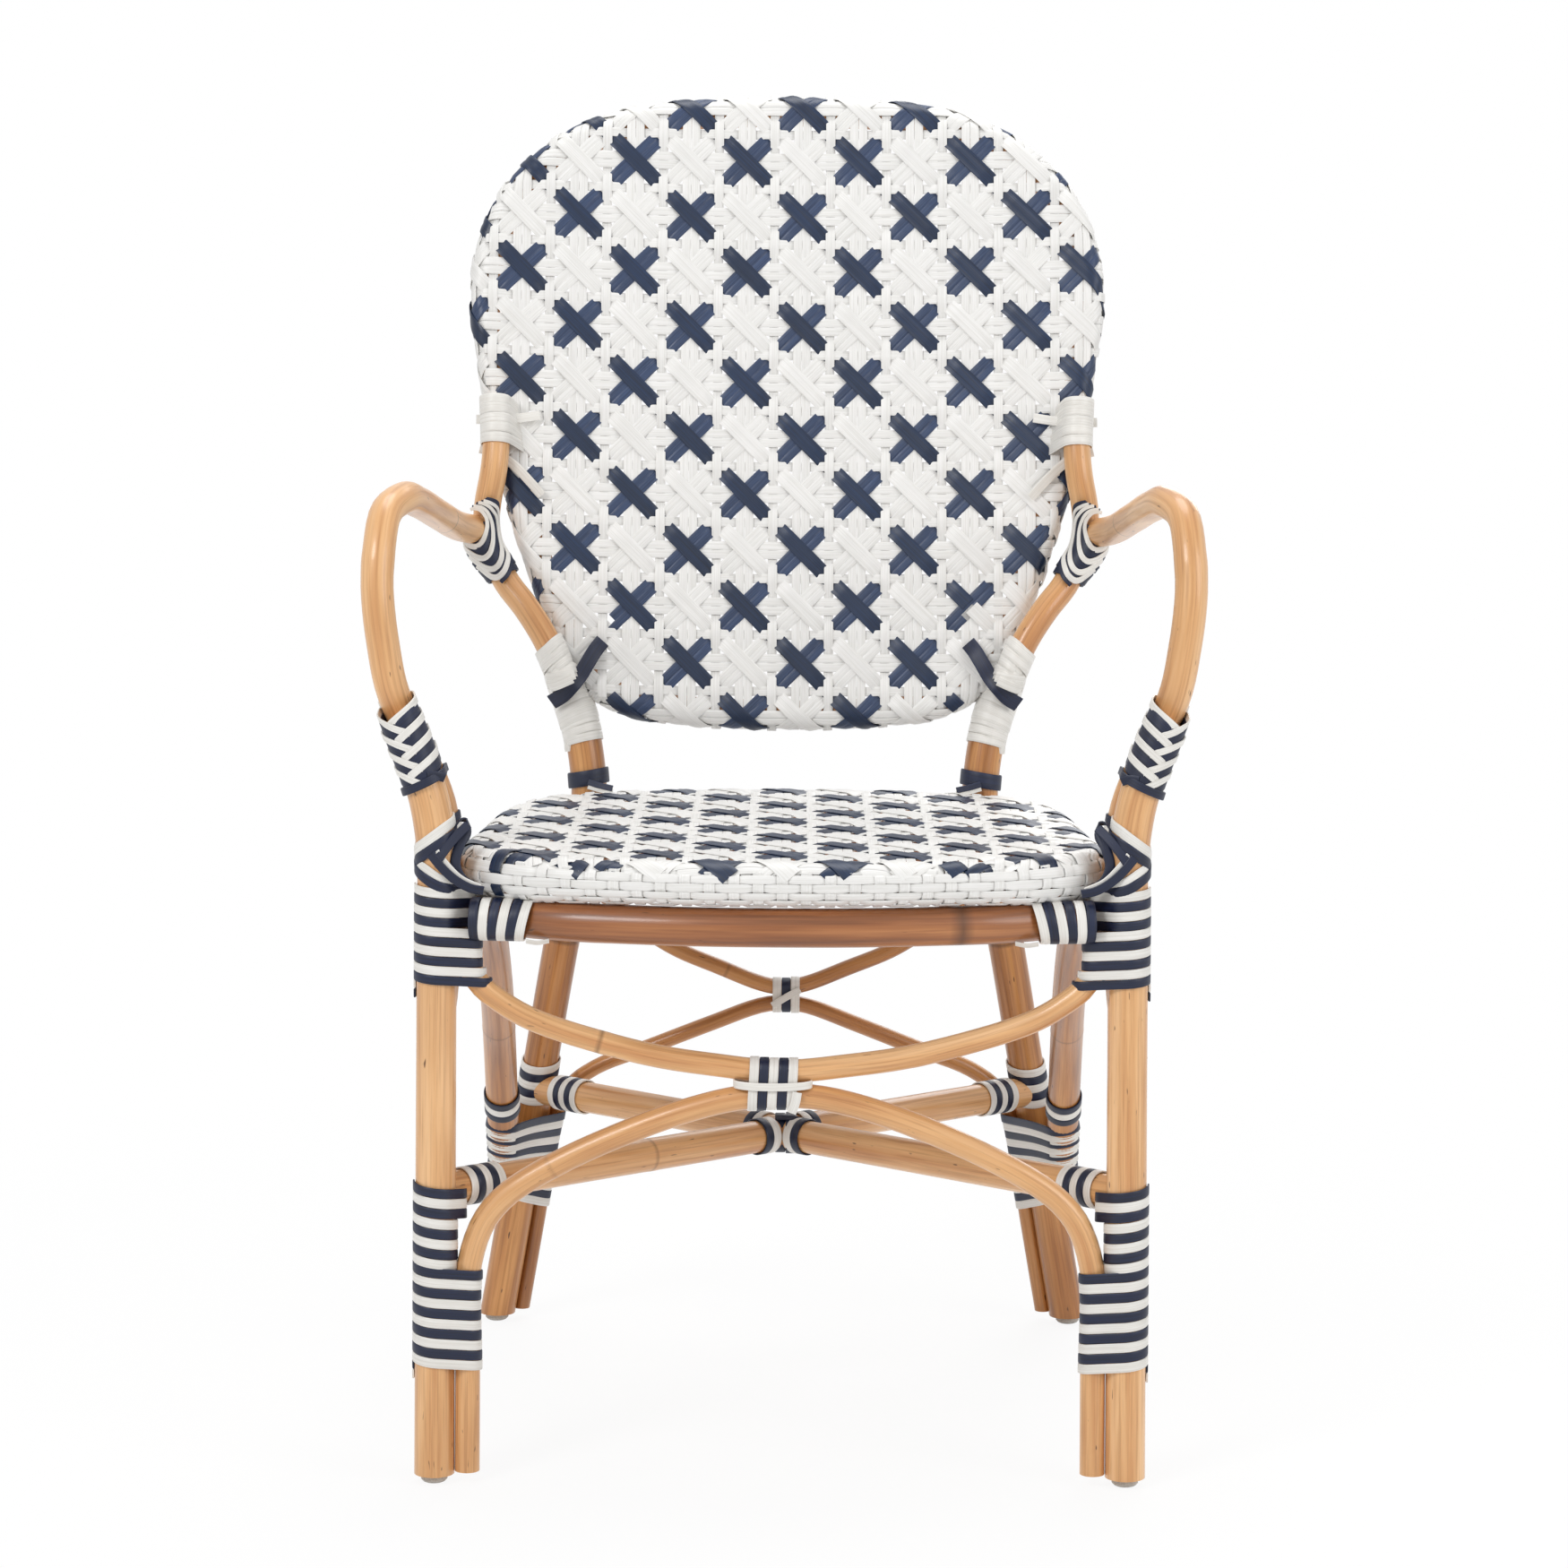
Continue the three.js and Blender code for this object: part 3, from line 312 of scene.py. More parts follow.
def smooth(points, closed=False):
    """A centripetal spline, which passes through every point without a wobble."""
    points = [np.array(point, float) for point in points]
    count = len(points)
    before, after = 2 * points[0] - points[1], 2 * points[-1] - points[-2]

    def pick(index):
        if closed:
            return points[index % count]
        return before if index < 0 else after if index >= count else points[index]

    run = []
    for span in range(count if closed else count - 1):
        a, b, c, d = (pick(span + k) for k in (-1, 0, 1, 2))
        ab, bc, cd = (max(np.linalg.norm(q - p) ** 0.5, 1e-3) for p, q in ((a, b), (b, c), (c, d)))
        leave = ((b - a) / ab - (c - a) / (ab + bc) + (c - b) / bc) * bc
        arrive = ((c - b) / bc - (d - b) / (bc + cd) + (d - c) / cd) * bc
        for i in range(SPLINE_STEPS):
            t = i / SPLINE_STEPS
            square = -3 * b + 3 * c - 2 * leave - arrive
            cube = 2 * b - 2 * c + leave + arrive
            run.append(b + t * (leave + t * (square + t * cube)))
    if not closed:
        run.append(points[-1])
    return np.array(run)


def distances(run):
    return np.concatenate([[0], np.cumsum(np.linalg.norm(np.diff(run, axis=0), axis=1))])


def even(run, step):
    """The same run with points at even distances."""
    far = distances(run)
    count = max(int(round(far[-1] / step)), 2)
    marks = np.linspace(0, far[-1], count + 1)
    return np.stack([np.interp(marks, far, run[:, k]) for k in range(3)], axis=1)


def at_height(run, height):
    """The point where a run passes a height, going down its list."""
    for a, b in zip(run[:-1], run[1:]):
        if (a[2] - height) * (b[2] - height) <= 0 and a[2] != b[2]:
            return a + (b - a) * (height - a[2]) / (b[2] - a[2])
    return run[np.abs(run[:, 2] - height).argmin()]


def mirrored(run):
    return np.asarray(run) * np.array([-1, 1, 1])


def both_halves(points):
    """A run across the chair from the points of its left half."""
    return list(points) + [(-p[0], p[1], p[2]) for p in reversed(points[:-1])]


# %% Where the poles run
LEG, ARM, POST, SIDE_BRACE, STRETCHER = 14, 11.3, 10.5, 12.3, 12    # radii of the poles
FRONT_BOW, FRONT_ARCH, REAR_BRACE, RAIL = 8, 8.7, 6.2, 13.5
SEAT_HALF, SEAT_DEPTH, SEAT_FRONT, SEAT_TOP = 225, 441, -56, 446
SEAT_RIM = 16.3         # radius that the strands of the seat wrap round
RING_HEIGHT = SEAT_TOP - SEAT_RIM
RAIL_HEIGHT = 399.6
seat_shares = [
    (0, 0), (0.26, 0.006), (0.49, 0.027), (0.69, 0.054), (0.84, 0.095), (0.945, 0.15),
    (0.995, 0.215), (1, 0.354), (0.991, 0.458), (0.964, 0.658), (0.916, 0.785), (0.836, 0.871),
    (0.72, 0.923), (0.538, 0.964), (0.267, 0.993), (0, 1),
]
back_shares = [
    (0, 0), (0.264, 0.004), (0.488, 0.018), (0.588, 0.0385), (0.66, 0.072), (0.725, 0.125),
    (0.772, 0.185), (0.812, 0.24), (0.85, 0.3), (0.888, 0.36), (0.93, 0.45), (0.968, 0.55),
    (0.994, 0.63), (0.998, 0.69), (0.972, 0.765), (0.892, 0.85), (0.725, 0.931), (0.5, 0.978),
    (0.27, 0.994), (0, 1),
]
BACK_HALF, BACK_RISE, BACK_FOOT, BACK_Y = 250, 508, 494, 362
BACK_DISH, BACK_LEAN, BACK_RIM = 22, math.radians(13.2), 14.3


def closed_outline(shares, half, length, start):
    right = [(x * half, start + y * length, 0) for x, y in shares]
    left = [(-x, y, 0) for x, y, _ in reversed(right[1:-1])]
    return even(np.vstack([smooth(right + left, closed=True), [right[0]]]), 4)[:-1]


def on_back(x, rise, forward):
    """A place on the leaning, dished back: across, up along it and forward of its hoop."""
    out_by = forward - BACK_DISH * (1 - (x / BACK_HALF) ** 2)
    y = BACK_Y + rise * math.sin(BACK_LEAN) - out_by * math.cos(BACK_LEAN)
    z = BACK_FOOT + rise * math.cos(BACK_LEAN) + out_by * math.sin(BACK_LEAN)
    return np.stack([x + 0 * y, y, z], axis=-1)


def on_seat(x, y, lift):
    return np.stack([x, y, RING_HEIGHT + lift], axis=-1)


seat_outline = closed_outline(seat_shares, SEAT_HALF, SEAT_DEPTH, SEAT_FRONT)
back_outline = closed_outline(back_shares, BACK_HALF, BACK_RISE, 0)

REAR_SEAT, REAR_FOOT = np.array([-152.5, 372.3, SEAT_TOP]), np.array([-232, 461, 0])
BRACE_ASIDE, BRACE_BACK = 18.87, 8      # from the middle of a rear leg to the braces beside it
FRONT_FOOT_X = -242


def leg_x(height):
    return FRONT_FOOT_X + 4 * height / 443


def on_rear_leg(height):
    return REAR_FOOT + (REAR_SEAT - REAR_FOOT) * height / SEAT_TOP


def beside_rear_leg(height):
    return on_rear_leg(height) + np.array([BRACE_ASIDE, BRACE_BACK, 0])


def between_rear_legs(share, height, end_height):
    return np.array([share * beside_rear_leg(end_height)[0], on_rear_leg(height)[1] + BRACE_BACK,
                     height])


front_leg_run = smooth([(leg_x(0), 0, 0), (leg_x(403), 0, 403), (-238, 0, 443), (-243, 0, 480),
                        (-250.5, 0, 504.8), (-263, 0, 538)])
rear_leg_run = smooth([on_rear_leg(0), on_rear_leg(165), on_rear_leg(330), (-152.5, 372.3, 432),
                       (-152.5, 372.3, 452.7), (-158.2, 377.9, 489.7), (-171.5, 389.3, 530)])
post_shares = [(0.684, 0.068, 0.9), (0.74, 0.13, 0.96), (0.804, 0.18, 0.86), (0.864, 0.219, 0.6),
               (0.916, 0.272, 0.45), (0.93, 0.306, 0.45), (0.926, 0.341, 0.62),
               (0.908, 0.384, 0.94), (0.9, 0.427, 1.02), (0.905, 0.5, 1.02)]
post_run = smooth([on_back(-a * BACK_HALF, u * BACK_RISE, o * 25.1) for a, u, o in post_shares])
arm_root = at_height(post_run, 644) - np.array([7, 0, 0])
arm_shares = [(0.896, 0.9, 0.85), (0.918, 0.605, 0.913), (0.935, 0.29, 0.979), (0.953, 0.158, 1),
              (0.986, 0.079, 0.963), (0.996, 0.037, 0.871), (1, 0.021, 0.772),
              (0.996, 0.016, 0.693), (0.986, 0.02, 0.593), (0.966, 0.032, 0.46),
              (0.912, 0.055, 0.3)]
ARM_HALF, ARM_RISE, TAIL_X, TAIL_Y = 279, 239, -236.6, 25.6     # the tail runs down behind the leg
arm_bend = [(-a * ARM_HALF, b * arm_root[1], SEAT_TOP + u * ARM_RISE) for a, b, u in arm_shares]
arm_run = smooth([arm_root] + arm_bend + [(TAIL_X, TAIL_Y, height) for height in (468.6, 398, 350)]
                 + [(-244.6, TAIL_Y, 296)])
bow_shares = [(1, 0), (1, 0.18), (0.962, 0.352), (0.906, 0.462), (0.833, 0.571), (0.747, 0.659),
              (0.583, 0.78), (0.405, 0.885), (0.223, 0.95), (0, 1)]
BOW_HALF, BOW_TOP, BOW_DROP = 216.2, 384, 91
upper_brace_run = smooth(both_halves([
    (-BOW_HALF * a, 0, BOW_TOP - BOW_DROP * d) for a, d in bow_shares]))
arch_shares = [(1, 0), (0.954, 0.27), (0.895, 0.405), (0.826, 0.5), (0.68, 0.643), (0.498, 0.786),
               (0.315, 0.905), (0.137, 0.984), (0, 1)]
ARCH_HALF, ARCH_FOOT, ARCH_RISE = 217.6, 150, 126
lower_brace_run = smooth(both_halves([(leg_x(0) + 23, 0, 0), (leg_x(75) + 23, 0, 75)] + [
    (-ARCH_HALF * a, 0, ARCH_FOOT + ARCH_RISE * u) for a, u in arch_shares]))
rear_bow_shares = [(0.885, 0.155), (0.72, 0.43), (0.57, 0.61), (0.345, 0.79), (0.12, 0.96), (0, 1)]
REAR_BOW_TOP, REAR_BOW_DROP = 362, 80
rear_upper_run = smooth(both_halves([beside_rear_leg(REAR_BOW_TOP)] + [
    between_rear_legs(a, REAR_BOW_TOP - REAR_BOW_DROP * d, REAR_BOW_TOP)
    for a, d in rear_bow_shares]))
rear_arch_shares = [(0.945, 0.23), (0.82, 0.42), (0.59, 0.6), (0.31, 0.82), (0.1, 0.975), (0, 1)]
REAR_ARCH_FOOT, REAR_ARCH_RISE = 175, 94.3
rear_lower_run = smooth(both_halves([beside_rear_leg(h)
                                     for h in (0, REAR_ARCH_FOOT / 2, REAR_ARCH_FOOT)] + [
    between_rear_legs(a, REAR_ARCH_FOOT + REAR_ARCH_RISE * u, REAR_ARCH_FOOT)
    for a, u in rear_arch_shares]))
side_start, side_end = np.array([-208.7, 52, 386]), on_rear_leg(138) + np.array([-13.3, -23.1, 0])
side_shares = [(0.03, 0.12, 0.04), (0.25, 0.4, 0.28), (0.62, 0.66, 0.52), (0.86, 0.84, 0.75)]
side_brace_run = smooth([side_start + (0, -13, 13)] + [
    side_start + np.array(shares) * (side_end - side_start) for shares in side_shares] + [side_end])
STRETCHER_FRONT, STRETCHER_REAR = 207, 198      # heights of its two ends
lower_lap_run = np.linspace((FRONT_FOOT_X, 0, STRETCHER_FRONT),
                            mirrored(on_rear_leg(STRETCHER_REAR)), 12)
upper_lap_run = mirrored(lower_lap_run)
print("arm", round(distances(arm_run)[-1]), "mm along")
print("front leg", round(distances(front_leg_run)[-1]), "mm along")

# %% Bend a straight cane along its run
def deselect():
    if bpy.context.mode != "OBJECT":
        bpy.ops.object.mode_set(mode="OBJECT")
    bpy.ops.object.select_all(action="DESELECT")


def run_curve(name, run, closed):
    data = bpy.data.curves.new(name, "CURVE")
    data.dimensions = "3D"
    line = data.splines.new("POLY")
    points = placed(run)
    line.points.add(len(points) - 1)
    for spot, point in zip(line.points, points):
        spot.co = (*point, 1)
    line.use_cyclic_u = closed
    curve = bpy.data.objects.new(name, data)
    bpy.context.collection.objects.link(curve)
    return curve


RING_STEP, SIDES = 0.006, 24        # metres between the rings of a straight cane, and its sides


def straight_cane(name, length, radius, closed):
    """A cylinder with rings along it, standing on the origin."""
    deselect()
    bpy.ops.mesh.primitive_cylinder_add(vertices=SIDES, radius=radius, depth=length,
                                        location=(0, 0, length / 2),
                                        end_fill_type="NOTHING" if closed else "NGON")
    bpy.ops.object.transform_apply(location=True)
    cane = bpy.context.active_object
    cane.name = name
    bpy.ops.object.mode_set(mode="EDIT")
    bpy.ops.mesh.select_mode(type="EDGE")
    bpy.ops.mesh.select_all(action="DESELECT")
    shape = bmesh.from_edit_mesh(cane.data)
    for edge in shape.edges:
        a, b = edge.verts
        edge.select_set(bool(abs(a.co.z - b.co.z) > length / 2))
    bpy.ops.mesh.subdivide(number_cuts=max(int(length / RING_STEP), 6))
    bpy.ops.object.mode_set(mode="OBJECT")
    return cane


# Rings close up round a node of the cane, within so many metres and by this share. There the pole
# swells, with a groove in the middle and a dark stain. Their widths are in millimetres.
GATHER_REACH, GATHER = 0.014, 0.55
SWELL, SWELL_WIDTH, GROOVE, GROOVE_WIDTH = 0.028, 3.6, 0.03, 1.1
STAIN_WIDTH, STAIN_SHIFT = 1.3, 0.4


def shape_knuckles(cane, length, knuckles, closed, seed):
    """Gathers rings at the nodes, swells them, and stores the straight place for the grain."""
    mesh = cane.data
    spots = np.empty(len(mesh.vertices) * 3)
    mesh.vertices.foreach_get("co", spots)
    spots = spots.reshape(-1, 3)
    straight, dark = spots.copy(), np.zeros(len(spots))
    for place in knuckles:
        away = straight[:, 2] - place * length
        pull = np.clip(1 - np.abs(away) / GATHER_REACH, 0, 1)
        straight[:, 2] -= away * GATHER * pull
    for place in knuckles:
        away = (straight[:, 2] - place * length) / MM
        swell = 1 + SWELL * np.exp(-(away / SWELL_WIDTH) ** 2)
        swell = swell - GROOVE * np.exp(-(away / GROOVE_WIDTH) ** 2)
        straight[:, :2] *= swell[:, None]
        dark = np.maximum(dark, np.exp(-((away + STAIN_SHIFT) / STAIN_WIDTH) ** 2))
    if not closed:
        along = straight[:, 2]
        wander = 1 + 0.008 * np.sin(along / 0.11 + seed) + 0.004 * np.sin(along / 0.037 + 2 * seed)
        straight[:, :2] *= wander[:, None]
    mesh.vertices.foreach_set("co", straight.reshape(-1))
    grain = mesh.attributes.new("grain", "FLOAT_VECTOR", "POINT")
    offset = np.array([0.4 * seed, 0.23 * seed, 0.9 * seed])
    grain.data.foreach_set("vector", (straight + offset).reshape(-1))
    knuckle = mesh.attributes.new("knuckle", "FLOAT", "POINT")
    knuckle.data.foreach_set("value", dark)
    mesh.update()


def cut_flat(piece, height):
    """Bisects a pole at a level and closes the cut."""
    deselect()
    piece.select_set(True)
    bpy.context.view_layer.objects.active = piece
    bpy.ops.object.mode_set(mode="EDIT")
    bpy.ops.mesh.select_all(action="SELECT")
    bpy.ops.mesh.bisect(plane_co=(0, 0, height * MM), plane_no=(0, 0, 1), use_fill=True,
                        clear_inner=True)
    bpy.ops.object.mode_set(mode="OBJECT")


def finish_piece(piece, material, nodes, angle=40):
    """angle: the degrees from which an edge is shaded sharp."""
    deselect()
    piece.select_set(True)
    bpy.context.view_layer.objects.active = piece
    bpy.ops.object.shade_smooth_by_angle(angle=math.radians(angle))
    piece.data.materials.clear()
    piece.data.materials.append(material)
    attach(piece, "root")
    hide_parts(*nodes)


SOFTENED = 0.12         # how wide the softened edge of an end is, as a share of the radius


def bent_pole(name, node, run, radius, material, knuckles, seed, foot=None,
              closed=False):
    """foot: the height at which the pole is cut level, so that it stands on its glide."""
    route = even(run, 5)
    if closed:
        route = route[:-1]
    curve = run_curve(name + "_run", route, closed)
    length = distances(run)[-1] * MM
    cane = straight_cane(name + "_cane", length, radius * MM, closed)
    shape_knuckles(cane, length, knuckles, closed, seed)
    if not closed:
        bevel = cane.modifiers.new("softened ends", "BEVEL")
        bevel.width = radius * MM * SOFTENED
        bevel.segments = 2
        bevel.limit_method = "ANGLE"
        bevel.angle_limit = math.radians(60)
        bpy.ops.object.modifier_apply(modifier=bevel.name)
    bend = cane.modifiers.new("bend", "CURVE")
    bend.object = curve
    bend.deform_axis = "POS_Z"
    bpy.ops.object.modifier_apply(modifier=bend.name)
    if closed:
        bpy.ops.object.mode_set(mode="EDIT")
        bpy.ops.mesh.select_all(action="SELECT")
        bpy.ops.mesh.remove_doubles(threshold=0.0008)
        bpy.ops.object.mode_set(mode="OBJECT")
    if foot is not None:
        cut_flat(cane, foot)
    bpy.data.objects.remove(curve)
    print(name, round(length, 3), "m long")
    finish_piece(cane, material, [node])


# %% Make the poles
LEG_CUT, BRACE_CUT = 6, 8           # heights at which the feet of legs and arches end
light, dark = (honey, "rattan"), (amber, "dark_rattan")
for name, run, radius, (material, slot_name), knuckles, foot, seed in (
        ("front_leg", front_leg_run, LEG, light, (0.30, 0.70), LEG_CUT, 1.1),
        ("rear_leg", rear_leg_run, LEG, dark, (0.22, 0.61), LEG_CUT, 2.3),
        ("arm", arm_run, ARM, light, (0.17, 0.53), None, 3.1),
        ("outer_post", post_run, POST, light, (), None, 4.2),
        ("side_brace", side_brace_run, SIDE_BRACE, dark, (0.55,), None, 5.3)):
    for side, side_run, side_seed in (("left", run, seed), ("right", mirrored(run), seed + 0.37)):
        bent_pole(name + "_" + side + "_pole", name + "_" + side, side_run, radius, material,
                  knuckles, side_seed, foot)
for name, node, run, radius, (material, slot_name), knuckles, foot, seed in (
        ("front_upper_bow", "front_upper_brace", upper_brace_run, FRONT_BOW, light, (0.25, 0.69),
         None, 6.1),
        ("front_lower_arch", "front_lower_brace", lower_brace_run, FRONT_ARCH, light, (0.3, 0.62),
         BRACE_CUT, 7.4),
        ("rear_upper_bow", "rear_upper_brace", rear_upper_run, REAR_BRACE, dark, (0.36,), None,
         8.2),
        ("rear_lower_arch", "rear_lower_brace", rear_lower_run, REAR_BRACE, dark, (0.28, 0.67),
         BRACE_CUT, 9.5),
        ("stretcher_lower_lap_pole", "stretcher_lower_lap", lower_lap_run, STRETCHER, light,
         (0.33,), None, 10.1),
        ("stretcher_upper_lap_pole", "stretcher_upper_lap", upper_lap_run, STRETCHER, light,
         (0.66,), None, 11.7)):
    bent_pole(name, node, run, radius, material, knuckles, seed, foot)
# %% [markdown]
# ## Rings of the seat and the back
# The seat rail is one pole bent to a closed ring under the seat. Its finish is partly the rail's
# own deeper orange-brown and partly painted shade of the seat above it. The seat ring and the hoop
# of the back are hidden in the weave, where only slivers of them show between strands.

# %% Rail and hidden rings
def inset_outline(outline, inset):
    ahead = np.roll(outline, -1, axis=0) - np.roll(outline, 1, axis=0)
    outward = np.stack([ahead[:, 1], -ahead[:, 0], 0 * ahead[:, 0]], axis=1)
    outward /= np.linalg.norm(outward, axis=1)[:, None]
    return outline - outward * inset, outward


rail_line, _ = inset_outline(seat_outline, SEAT_RIM)
rail_run = np.roll(rail_line + (0, 0, RAIL_HEIGHT), len(rail_line) // 2, axis=0)
rail_run = np.vstack([rail_run, rail_run[:1]])
# The rail's darker finish is partly painted shade from the seat above.
bent_pole("seat_rail_ring", "seat_rail", rail_run, RAIL, rail_russet_and_shade,
          (0.12, 0.41, 0.585, 0.86), 12.6, closed=True)


def plain_finish(name, size, detail, stops, roughness, strength, depth):
    """A finish for a piece without a grain of its own, on Object coordinates."""
    material, tree = plain_nodes(name)
    place = add_node(tree, "ShaderNodeTexCoord")
    cloud = stretched_noise(tree, place.outputs["Object"], (1, 1, 1), size, detail)
    finish_surface(tree, ramp(tree, cloud, stops), cloud, strength, depth, Roughness=roughness)
    return material


hidden_ring = plain_finish("hidden_ring_rattan", 160, 4,
                           [(0.3, linear(150, 100, 60)), (0.7, linear(205, 150, 98))], 0.45, 0.2,
                           0.0004)
for node_name in ("seat_ring", "back_hoop"):
    for material_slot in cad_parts[node_name].material_slots:
        material_slot.material = hidden_ring
# %% [markdown]
# ## Flat strands
# The strands are extruded plastic: a flat ribbon with fine ribs along it and a soft satin shine.
# Between the ribs the colour is painted darker, as shade in the grooves.
# White, navy and a slate blue, which is the navy strand seen from its paler side. Each strand
# differs a little in tone. The ribs follow a "strand" attribute: the place across the ribbon, the
# place along it and a number for each strand.

# %% Strand finish
def strand_finish(name, base, groove, rough, tone):
    """groove: the colour between the ribs, painted darker there as shade in the grooves; tone: the
    darkest strand against the palest.
    """
    material, tree = plain_nodes(name)
    attribute = add_node(tree, "ShaderNodeAttribute", attribute_name="strand")
    place = attribute.outputs["Vector"]
    ribs = stretched_noise(tree, place, (1, 0.012, 0.01), 1500, 2)
    cloud = stretched_noise(tree, place, (0.3, 1, 1), 24, 3)
    each = stretched_noise(tree, place, (0, 0, 1), 3.7, 0)
    # Darker colour in the low places of the ribs: painted shade in the grooves.
    body = ramp(tree, ribs, [(0.35, groove), (0.6, base)])
    tint = ramp(tree, each, [(0.3, grey(tone)), (0.7, WHITE)])
    body = blend_colour(tree, "MULTIPLY", 1.0, body, tint)
    mist = ramp(tree, cloud, [(0.35, grey(tone)), (0.6, WHITE)])
    body = blend_colour(tree, "MULTIPLY", 0.6, body, mist)
    shader = finish_surface(tree, body, ribs, 0.35, 0.0003)
    vary_shine(tree, shader, cloud, rough - 0.08, rough + 0.1)
    return material
# The second colour of each finish is the painted shade between its ribs.
white_finish = strand_finish("white_strand", linear(243, 242, 240), linear(231, 230, 226), 0.42,
                             0.955)
navy_finish = strand_finish("navy_strand", linear(18, 43, 77), linear(10, 27, 52), 0.38, 0.78)
slate_finish = strand_finish("slate_strand", linear(55, 73, 107), linear(38, 54, 84), 0.38, 0.8)
dark_finish = strand_finish("dark_navy_strip", linear(15, 29, 62), linear(9, 18, 42), 0.46, 0.8)
binding_white = strand_finish("white_strip", linear(240, 238, 233), linear(226, 223, 216), 0.4,
                              0.95)
print("strand finishes ready")

# %% [markdown]
# ## Lay ribbons
# A ribbon has a fixed section: a gently domed top, softened edges and a flat underside. Hundreds of
# crossings must pass over and under one another by less than a millimetre, so their centre lines
# are placed by formula in mesh code instead of by hand: each ribbon is swept along its line with
# its outward side known at every step.

# %% Sweep a ribbon
RIBBON_ANGLE = 38       # degrees from which an edge of a ribbon is shaded sharp


class Lay:
    """Collects swept ribbons and makes one closed mesh of them."""

    def __init__(self):
        self.points, self.faces, self.marks, self.count = [], [], [], 0

    def add(self, sections, across, closed=False, number=0.0):
        """sections: steps x k points; across: the place over the ribbon of each of the k points;
        number: the strand's own, which sets its tone."""
        steps, k, _ = sections.shape
        half_way = steps // 2
        after = sections[min(half_way + 1, steps - 1)]
        ahead = after.mean(axis=0) - sections[half_way - 1].mean(axis=0)
        facing = np.cross(sections[half_way], np.roll(sections[half_way], -1, axis=0)).sum(axis=0)
        if facing @ ahead < 0:
            sections, across = sections[:, ::-1], across[::-1]
        start = self.count
        self.points.append(sections.reshape(-1, 3))
        mark = np.zeros((steps, k, 3))
        mark[:, :, 0] = across[None, :] * MM
        mark[:, :, 1] = distances(sections.mean(axis=1))[:, None] * MM + 0.37 * number
        mark[:, :, 2] = number
        self.marks.append(mark.reshape(-1, 3))
        for i in range(steps if closed else steps - 1):
            a, b = start + i * k, start + ((i + 1) % steps) * k
            self.faces += [(a + j, a + (j + 1) % k, b + (j + 1) % k, b + j) for j in range(k)]
        if not closed:
            self.faces.append(tuple(start + j for j in reversed(range(k))))
            self.faces.append(tuple(start + (steps - 1) * k + j for j in range(k)))
        self.count += steps * k

    def make(self, name, material, slot_name, nodes):
        mesh = bpy.data.meshes.new(name)
        mesh.from_pydata(placed(np.vstack(self.points)).tolist(), [], self.faces)
        strand = mesh.attributes.new("strand", "FLOAT_VECTOR", "POINT")
        strand.data.foreach_set("vector", np.vstack(self.marks).reshape(-1))
        mesh.update()
        piece = bpy.data.objects.new(name, mesh)
        bpy.context.collection.objects.link(piece)
        print(name, len(self.faces), "faces")
        finish_piece(piece, material, nodes, RIBBON_ANGLE)


# The section as shares of half the width and of the thickness.
SECTION_ACROSS = np.array([-1, -0.86, -0.4, 0, 0.4, 0.86, 1, 0.93, -0.93])
SECTION_HIGH = np.array([-0.3, -0.02, 0, 0, 0, -0.02, -0.3, -1, -1])
SECTION_MIDDLE = SECTION_ACROSS == 0


def ribbon_section(width, thick, crease=0.0):
    """Places over the ribbon and heights, once round: the domed top, then the flat underside."""
    return SECTION_ACROSS * (width / 2), SECTION_HIGH * thick - crease * SECTION_MIDDLE


# %% [markdown]
# ## Weave the seat and the back
# The pattern is the old caning one: a lattice of narrow strands, wider pairs along the middle of
# each row, and diagonal crosses, navy and white by turns. It is worked flat, as u and v with a
# height for every layer. Then the flat pattern is laid on the panel, and what reaches past the edge
# is folded round the ring pole.

# %% Fold the flat pattern round the rim
class Panel:
    """A woven panel. corner: where its front corners bulge, aside and ahead, by how much and over
    what spread."""

    def __init__(self, outline, rim, place, reach, corner=None):
        self.rim, self.place, self.reach, self.corner = rim, place, reach, corner
        line, outward = inset_outline(outline, rim)
        self.line, self.outward = line[:, :2], outward[:, :2]
        self.ahead = np.roll(self.line, -1, axis=0) - self.line
    def nearest(self, spots):
        """Signed distance past the inset line, the nearest place on it and the way outward."""
        delta = spots[:, None, :] - self.line[None, :, :]
        size = (self.ahead ** 2).sum(axis=1)
        t = np.clip((delta * self.ahead[None]).sum(axis=2) / size[None], 0, 1)
        foot = self.line[None] + t[:, :, None] * self.ahead[None]
        far = ((spots[:, None, :] - foot) ** 2).sum(axis=2)
        best = far.argmin(axis=1)
        rows = np.arange(len(spots))
        t = t[rows, best][:, None]
        near = foot[rows, best]
        outward = self.outward[best] * (1 - t) + self.outward[(best + 1) % len(self.line)] * t
        outward /= np.linalg.norm(outward, axis=1)[:, None]
        side = ((spots - near) * outward).sum(axis=1)
        return np.sqrt(far[rows, best]) * np.sign(side), near, outward

    def fold(self, spots, lift):
        """Flat spots with their height over the ring's middle, on the panel or round its rim."""
        past, near, outward = self.nearest(spots)
        turn = np.clip(past, 0, None) / self.rim
        if self.corner is not None:
            aside, ahead, full, spread = self.corner
            off_x, off_y = np.abs(near[:, 0]) - aside, near[:, 1] - ahead
            near_corner = np.exp(-(off_x ** 2 + off_y ** 2) / spread ** 2)
            lift = lift + full * near_corner * ease(past / 12)
        flat = np.where((past > 0)[:, None], near + outward * (lift * np.sin(turn))[:, None], spots)
        level = np.where(past > 0, lift * np.cos(turn), lift)
        return self.place(flat[:, 0], flat[:, 1], level), past


def ease(value):
    value = np.clip(value, 0, 1)
    return value * value * (3 - 2 * value)


def wave(places, period, at_zero, at_half, flat_zero, flat_half):
    """A height that is at_zero at each period and at_half between, and level for flat_zero and
    flat_half to each side of them."""
    away = np.abs((places / period + 0.5) % 1 - 0.5) * period
    share = ease((away - flat_zero) / max(period / 2 - flat_zero - flat_half, 0.1))
    return at_zero + (at_half - at_zero) * share


